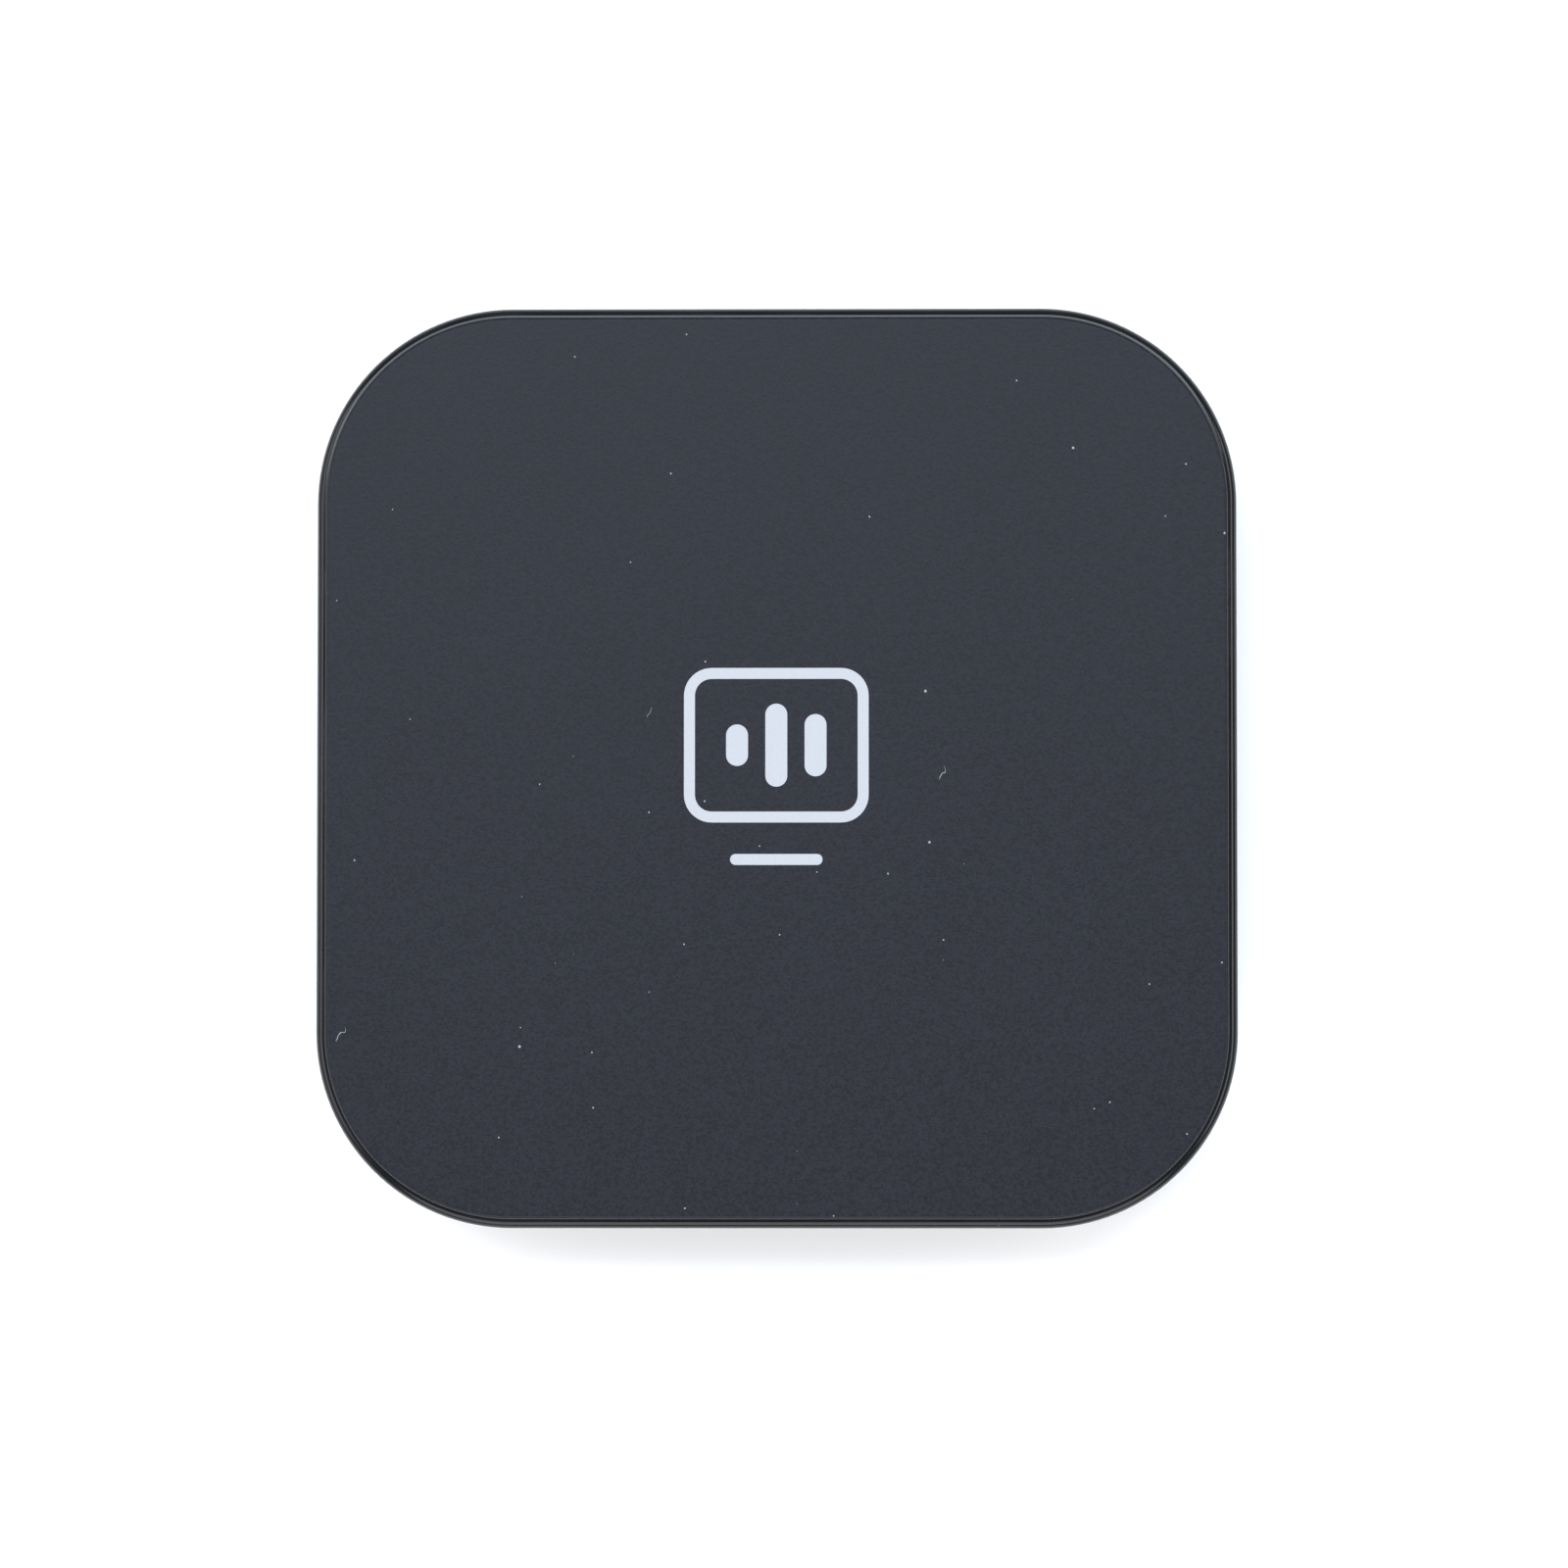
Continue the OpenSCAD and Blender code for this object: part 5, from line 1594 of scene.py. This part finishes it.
class MEDIAPLAYER_OT_card_socket(bpy.types.Operator):
    """Memory card socket with its contacts, eject slider and coil spring"""
    bl_idname = "media_player.card_socket"
    bl_label = "Card socket"

    def execute(self, context):
        refined("card_cage", "card_socket_base", "connector_plastic", 0.06)
        refined("card_cage_lid", "card_socket_cover", "plated_steel", 0.04)
        refined("card_fingers", "card_socket_contacts", "gilt_brass", 0.02)
        refined("eject_slider", "card_slider", "slider_plastic", 0.08, body="card_slider")
        lo, hi, wire, turns = low("card_spring"), high("card_spring"), 0.08, 6
        centre = middle("card_spring")
        radius = (hi.y - lo.y) / 2 - wire
        spring = new_piece("eject_spring", block((0, 0, 0), (1, 1, 1)))
        coil_tree().on(spring, Turns=float(turns), Radius=radius * MM, Wire=wire * MM,
                                 Length=(hi.x - lo.x - 2 * wire) * MM, Finish=material("spring_steel"),
                                 Start=((lo.x + wire) * MM, centre.y * MM, centre.z * MM))
        settled(shaded(spring), "spring_steel", "card_spring")
        wall, travel = low("card_socket_base").x + 0.6, 1.4
        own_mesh(spring)
        return {"FINISHED"}


class MEDIAPLAYER_OT_reset_switch(bpy.types.Operator):
    """Reset button with its plunger, snap dome, housing and bracket"""
    bl_idname = "media_player.reset_switch"
    bl_label = "Reset switch"

    def execute(self, context):
        spot = middle("reset_button")
        axis = (spot.x, 0, spot.z)
        self.button(axis)
        self.plunger(axis)
        self.dome(axis)
        refined("switch_body", "switch_housing", "connector_plastic", 0.08)
        refined("switch_yoke", "switch_bracket", "plated_steel", 0.05)
        return {"FINISHED"}

    def button(self, axis):
        """Round button with a dished face, a flange behind the wall, and a stem."""
        lo, hi = low("reset_button"), high("reset_button")
        flange, stem, ease = hi.x - axis[0], 0.9, 0.12
        face, seat, radius = hi.y, hi.y - 1.95, 1.7
        profile = [(stem - ease, lo.y), (stem, lo.y + ease), (stem, seat - 0.6), (flange - ease, seat - 0.6),
                   (flange, seat - 0.6 + ease), (flange, seat - ease), (flange - ease, seat), (radius, seat)]
        profile += arc(radius - 0.25, face - 0.25, 0.25, 0, 90, 6)
        profile += [(1.2, face - 0.02), (0.8, face - 0.07), (0.4, face - 0.1), (0.1, face - 0.11)]
        button = new_piece("reset_cap", turned("rear", axis, profile))
        settled(shaded(button), "button_plastic", "reset_button", body="reset_button")

    def plunger(self, axis):
        """Stepped pin that the button pushes."""
        lo, hi = low("switch_plunger"), high("switch_plunger")
        profile = [(0.9, lo.y), (1, lo.y + 0.08), (1, lo.y + 0.3), (0.7, lo.y + 0.35), (0.7, hi.y - 0.1),
                   (0.6, hi.y)]
        plunger = new_piece("plunger", turned("rear", axis, profile, 32))
        settled(shaded(plunger), "slider_plastic", "switch_plunger", body="reset_button")

    def dome(self, axis):
        """Thin spring dome, built in its domed resting shape; the real dome flattens as the plunger moves in,
        which this piece doesn't do.
        """
        lo, hi = low("switch_dome"), high("switch_dome")
        rise, rim, thick, travel = hi.y - lo.y, (hi.x - lo.x) / 2, 0.05, 0.3
        bow = [(rim * i / 10, lo.y + thick + (rise - thick) * math.cos(math.pi * i / 20))
               for i in range(1, 11)]
        inner = [(radius, height - thick) for radius, height in bow]
        dome = new_piece("snap_dome", turned("rear", axis, inner + bow[::-1], 36))
        settled(shaded(dome, 60), "spring_steel", "switch_dome")
        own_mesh(dome)


class MEDIAPLAYER_OT_status_light(bpy.types.Operator):
    """Status light and the clear pipe that carries it to the front"""
    bl_idname = "media_player.status_light"
    bl_label = "Status light"

    def execute(self, context):
        refined("light_source", "status_led", "led_resin", 0.08)
        lo, hi, spot = low("light_pipe"), high("light_pipe"), middle("light_pipe")
        flange, radius, ease = hi.x - spot.x, 1.0, 0.1
        back, seat, end = -hi.y, high("side_frame").x - sizes("case").wall - 0.02, -lo.y
        step = back + 0.4
        profile = [(radius - ease, back), (radius, back + ease), (radius, step), (flange - ease, step),
                   (flange, step + ease), (flange, seat), (radius, seat), (radius, end - 0.2)]
        profile += [(radius - 0.06, end - 0.09), (radius - 0.2, end - 0.03), (0.4, end), (0.1, end)]
        pipe = new_piece("light_rod", turned("front", (spot.x, 0, spot.z), profile, 40))
        settled(shaded(pipe), "pipe_acrylic", "light_pipe")
        return {"FINISHED"}


# --- Stage --------------------------------------------------------------------------------------------


def softbox(name, place, size, power, tint=(1, 1, 1)):
    """A rectangular soft light that faces the player."""
    light = bpy.data.lights.new(name, "AREA")
    light.color = tint
    light.shape = "RECTANGLE"
    light.size, light.size_y = size
    light.energy = power
    made = new_object(name, light)
    made.location = place
    made.rotation_euler = (-Vector(place)).to_track_quat("-Z", "Y").to_euler()


class MEDIAPLAYER_OT_stage(bpy.types.Operator):
    """Pale floor, soft lights and the camera above the lid"""
    bl_idname = "media_player.stage"
    bl_label = "Stage"

    def execute(self, context):
        scene, stage, half = context.scene, sizes("stage"), 1.5
        corners = [(half, half, 0), (-half, half, 0), (-half, -half, 0), (half, -half, 0)]
        mesh = bpy.data.meshes.new("floor")
        mesh.from_pydata(corners, [], [(0, 1, 2, 3)])
        mesh.materials.append(material("floor_paint"))
        new_object("floor", mesh)
        scene.world = bpy.data.worlds.new("studio")
        scene.world.use_nodes = True
        scene.world.node_tree.nodes["Background"].inputs["Color"].default_value = (0.42, 0.43, 0.46, 1)
        scene.view_settings.view_transform = "Standard"
        softbox("back light", (-0.05, 0.5, 1.35), (1.5, 0.5), stage.light * 1.5, (0.76, 0.87, 1))
        softbox("front light", (0.05, -1.2, 0.8), (1.8, 0.9), stage.light * 1.15)
        softbox("left light", (-1.2, 0.05, 0.85), (1.6, 0.9), stage.light * 0.8)
        softbox("right light", (1.2, -0.05, 1.0), (1.4, 0.5), stage.light * 0.6)
        self.camera(scene, stage)
        return {"FINISHED"}

    def camera(self, scene, stage):
        """A long lens above the lid, leaning a little to the front and the right."""
        lens = bpy.data.cameras.new("camera")
        width = 2 * high("side_frame").x
        lens.sensor_width = 36
        lens.lens = lens.sensor_width * stage.distance * stage.fill / width
        lens.clip_start = 0.01
        made = new_object("camera", lens)
        aim = Vector((stage.aim_right, -stage.aim_front, stage.aim_height))
        way = Vector((math.tan(stage.side_tilt), -math.tan(stage.tilt), 1)).normalized()
        made.location = (aim + way * stage.distance) * MM
        right = Y.cross(way).normalized()
        made.rotation_euler = Matrix((right, way.cross(right), way)).transposed().to_euler()
        scene.camera = made


# --- Add-on -------------------------------------------------------------------------------------------

SETTINGS = (CaseSettings, VentSettings, MarkSettings, FinishSettings, StageSettings, PlayerSettings)
OPERATORS = (MEDIAPLAYER_OT_lid, MEDIAPLAYER_OT_mark, MEDIAPLAYER_OT_side_frame, MEDIAPLAYER_OT_base,
             MEDIAPLAYER_OT_feet, MEDIAPLAYER_OT_screws, MEDIAPLAYER_OT_label, MEDIAPLAYER_OT_boards,
             MEDIAPLAYER_OT_chips, MEDIAPLAYER_OT_passives, MEDIAPLAYER_OT_shielding, MEDIAPLAYER_OT_cooling,
             MEDIAPLAYER_OT_radio, MEDIAPLAYER_OT_video_port, MEDIAPLAYER_OT_power_port,
             MEDIAPLAYER_OT_card_socket, MEDIAPLAYER_OT_reset_switch, MEDIAPLAYER_OT_status_light,
             MEDIAPLAYER_OT_stage)


class MEDIAPLAYER_PT_pieces(bpy.types.Panel):
    """The player's settings, and a button for each of its pieces"""
    bl_idname = "MEDIAPLAYER_PT_pieces"
    bl_label = "Media Player"
    bl_space_type = "VIEW_3D"
    bl_region_type = "UI"
    bl_category = "Media Player"

    def draw(self, context):
        for name in ("case", "vents", "mark", "finish", "stage"):
            group, box = getattr(settings(), name), self.layout.box()
            for prop in group.bl_rna.properties:
                if prop.type in ("FLOAT", "INT"):
                    box.prop(group, prop.identifier)
        for operator in OPERATORS:
            self.layout.operator(operator.bl_idname)


def register():
    for made in (*SETTINGS, *OPERATORS, MEDIAPLAYER_PT_pieces):
        bpy.utils.register_class(made)
    bpy.types.Scene.media_player = PointerProperty(type=PlayerSettings)


def unregister():
    del bpy.types.Scene.media_player
    for made in reversed((*SETTINGS, *OPERATORS, MEDIAPLAYER_PT_pieces)):
        bpy.utils.unregister_class(made)


def main():
    """Builds every piece in order."""
    register()
    for operator in OPERATORS:
        name = operator.bl_idname.split(".")[1]
        getattr(bpy.ops.media_player, name)()


if __name__ == "__main__":
    main()
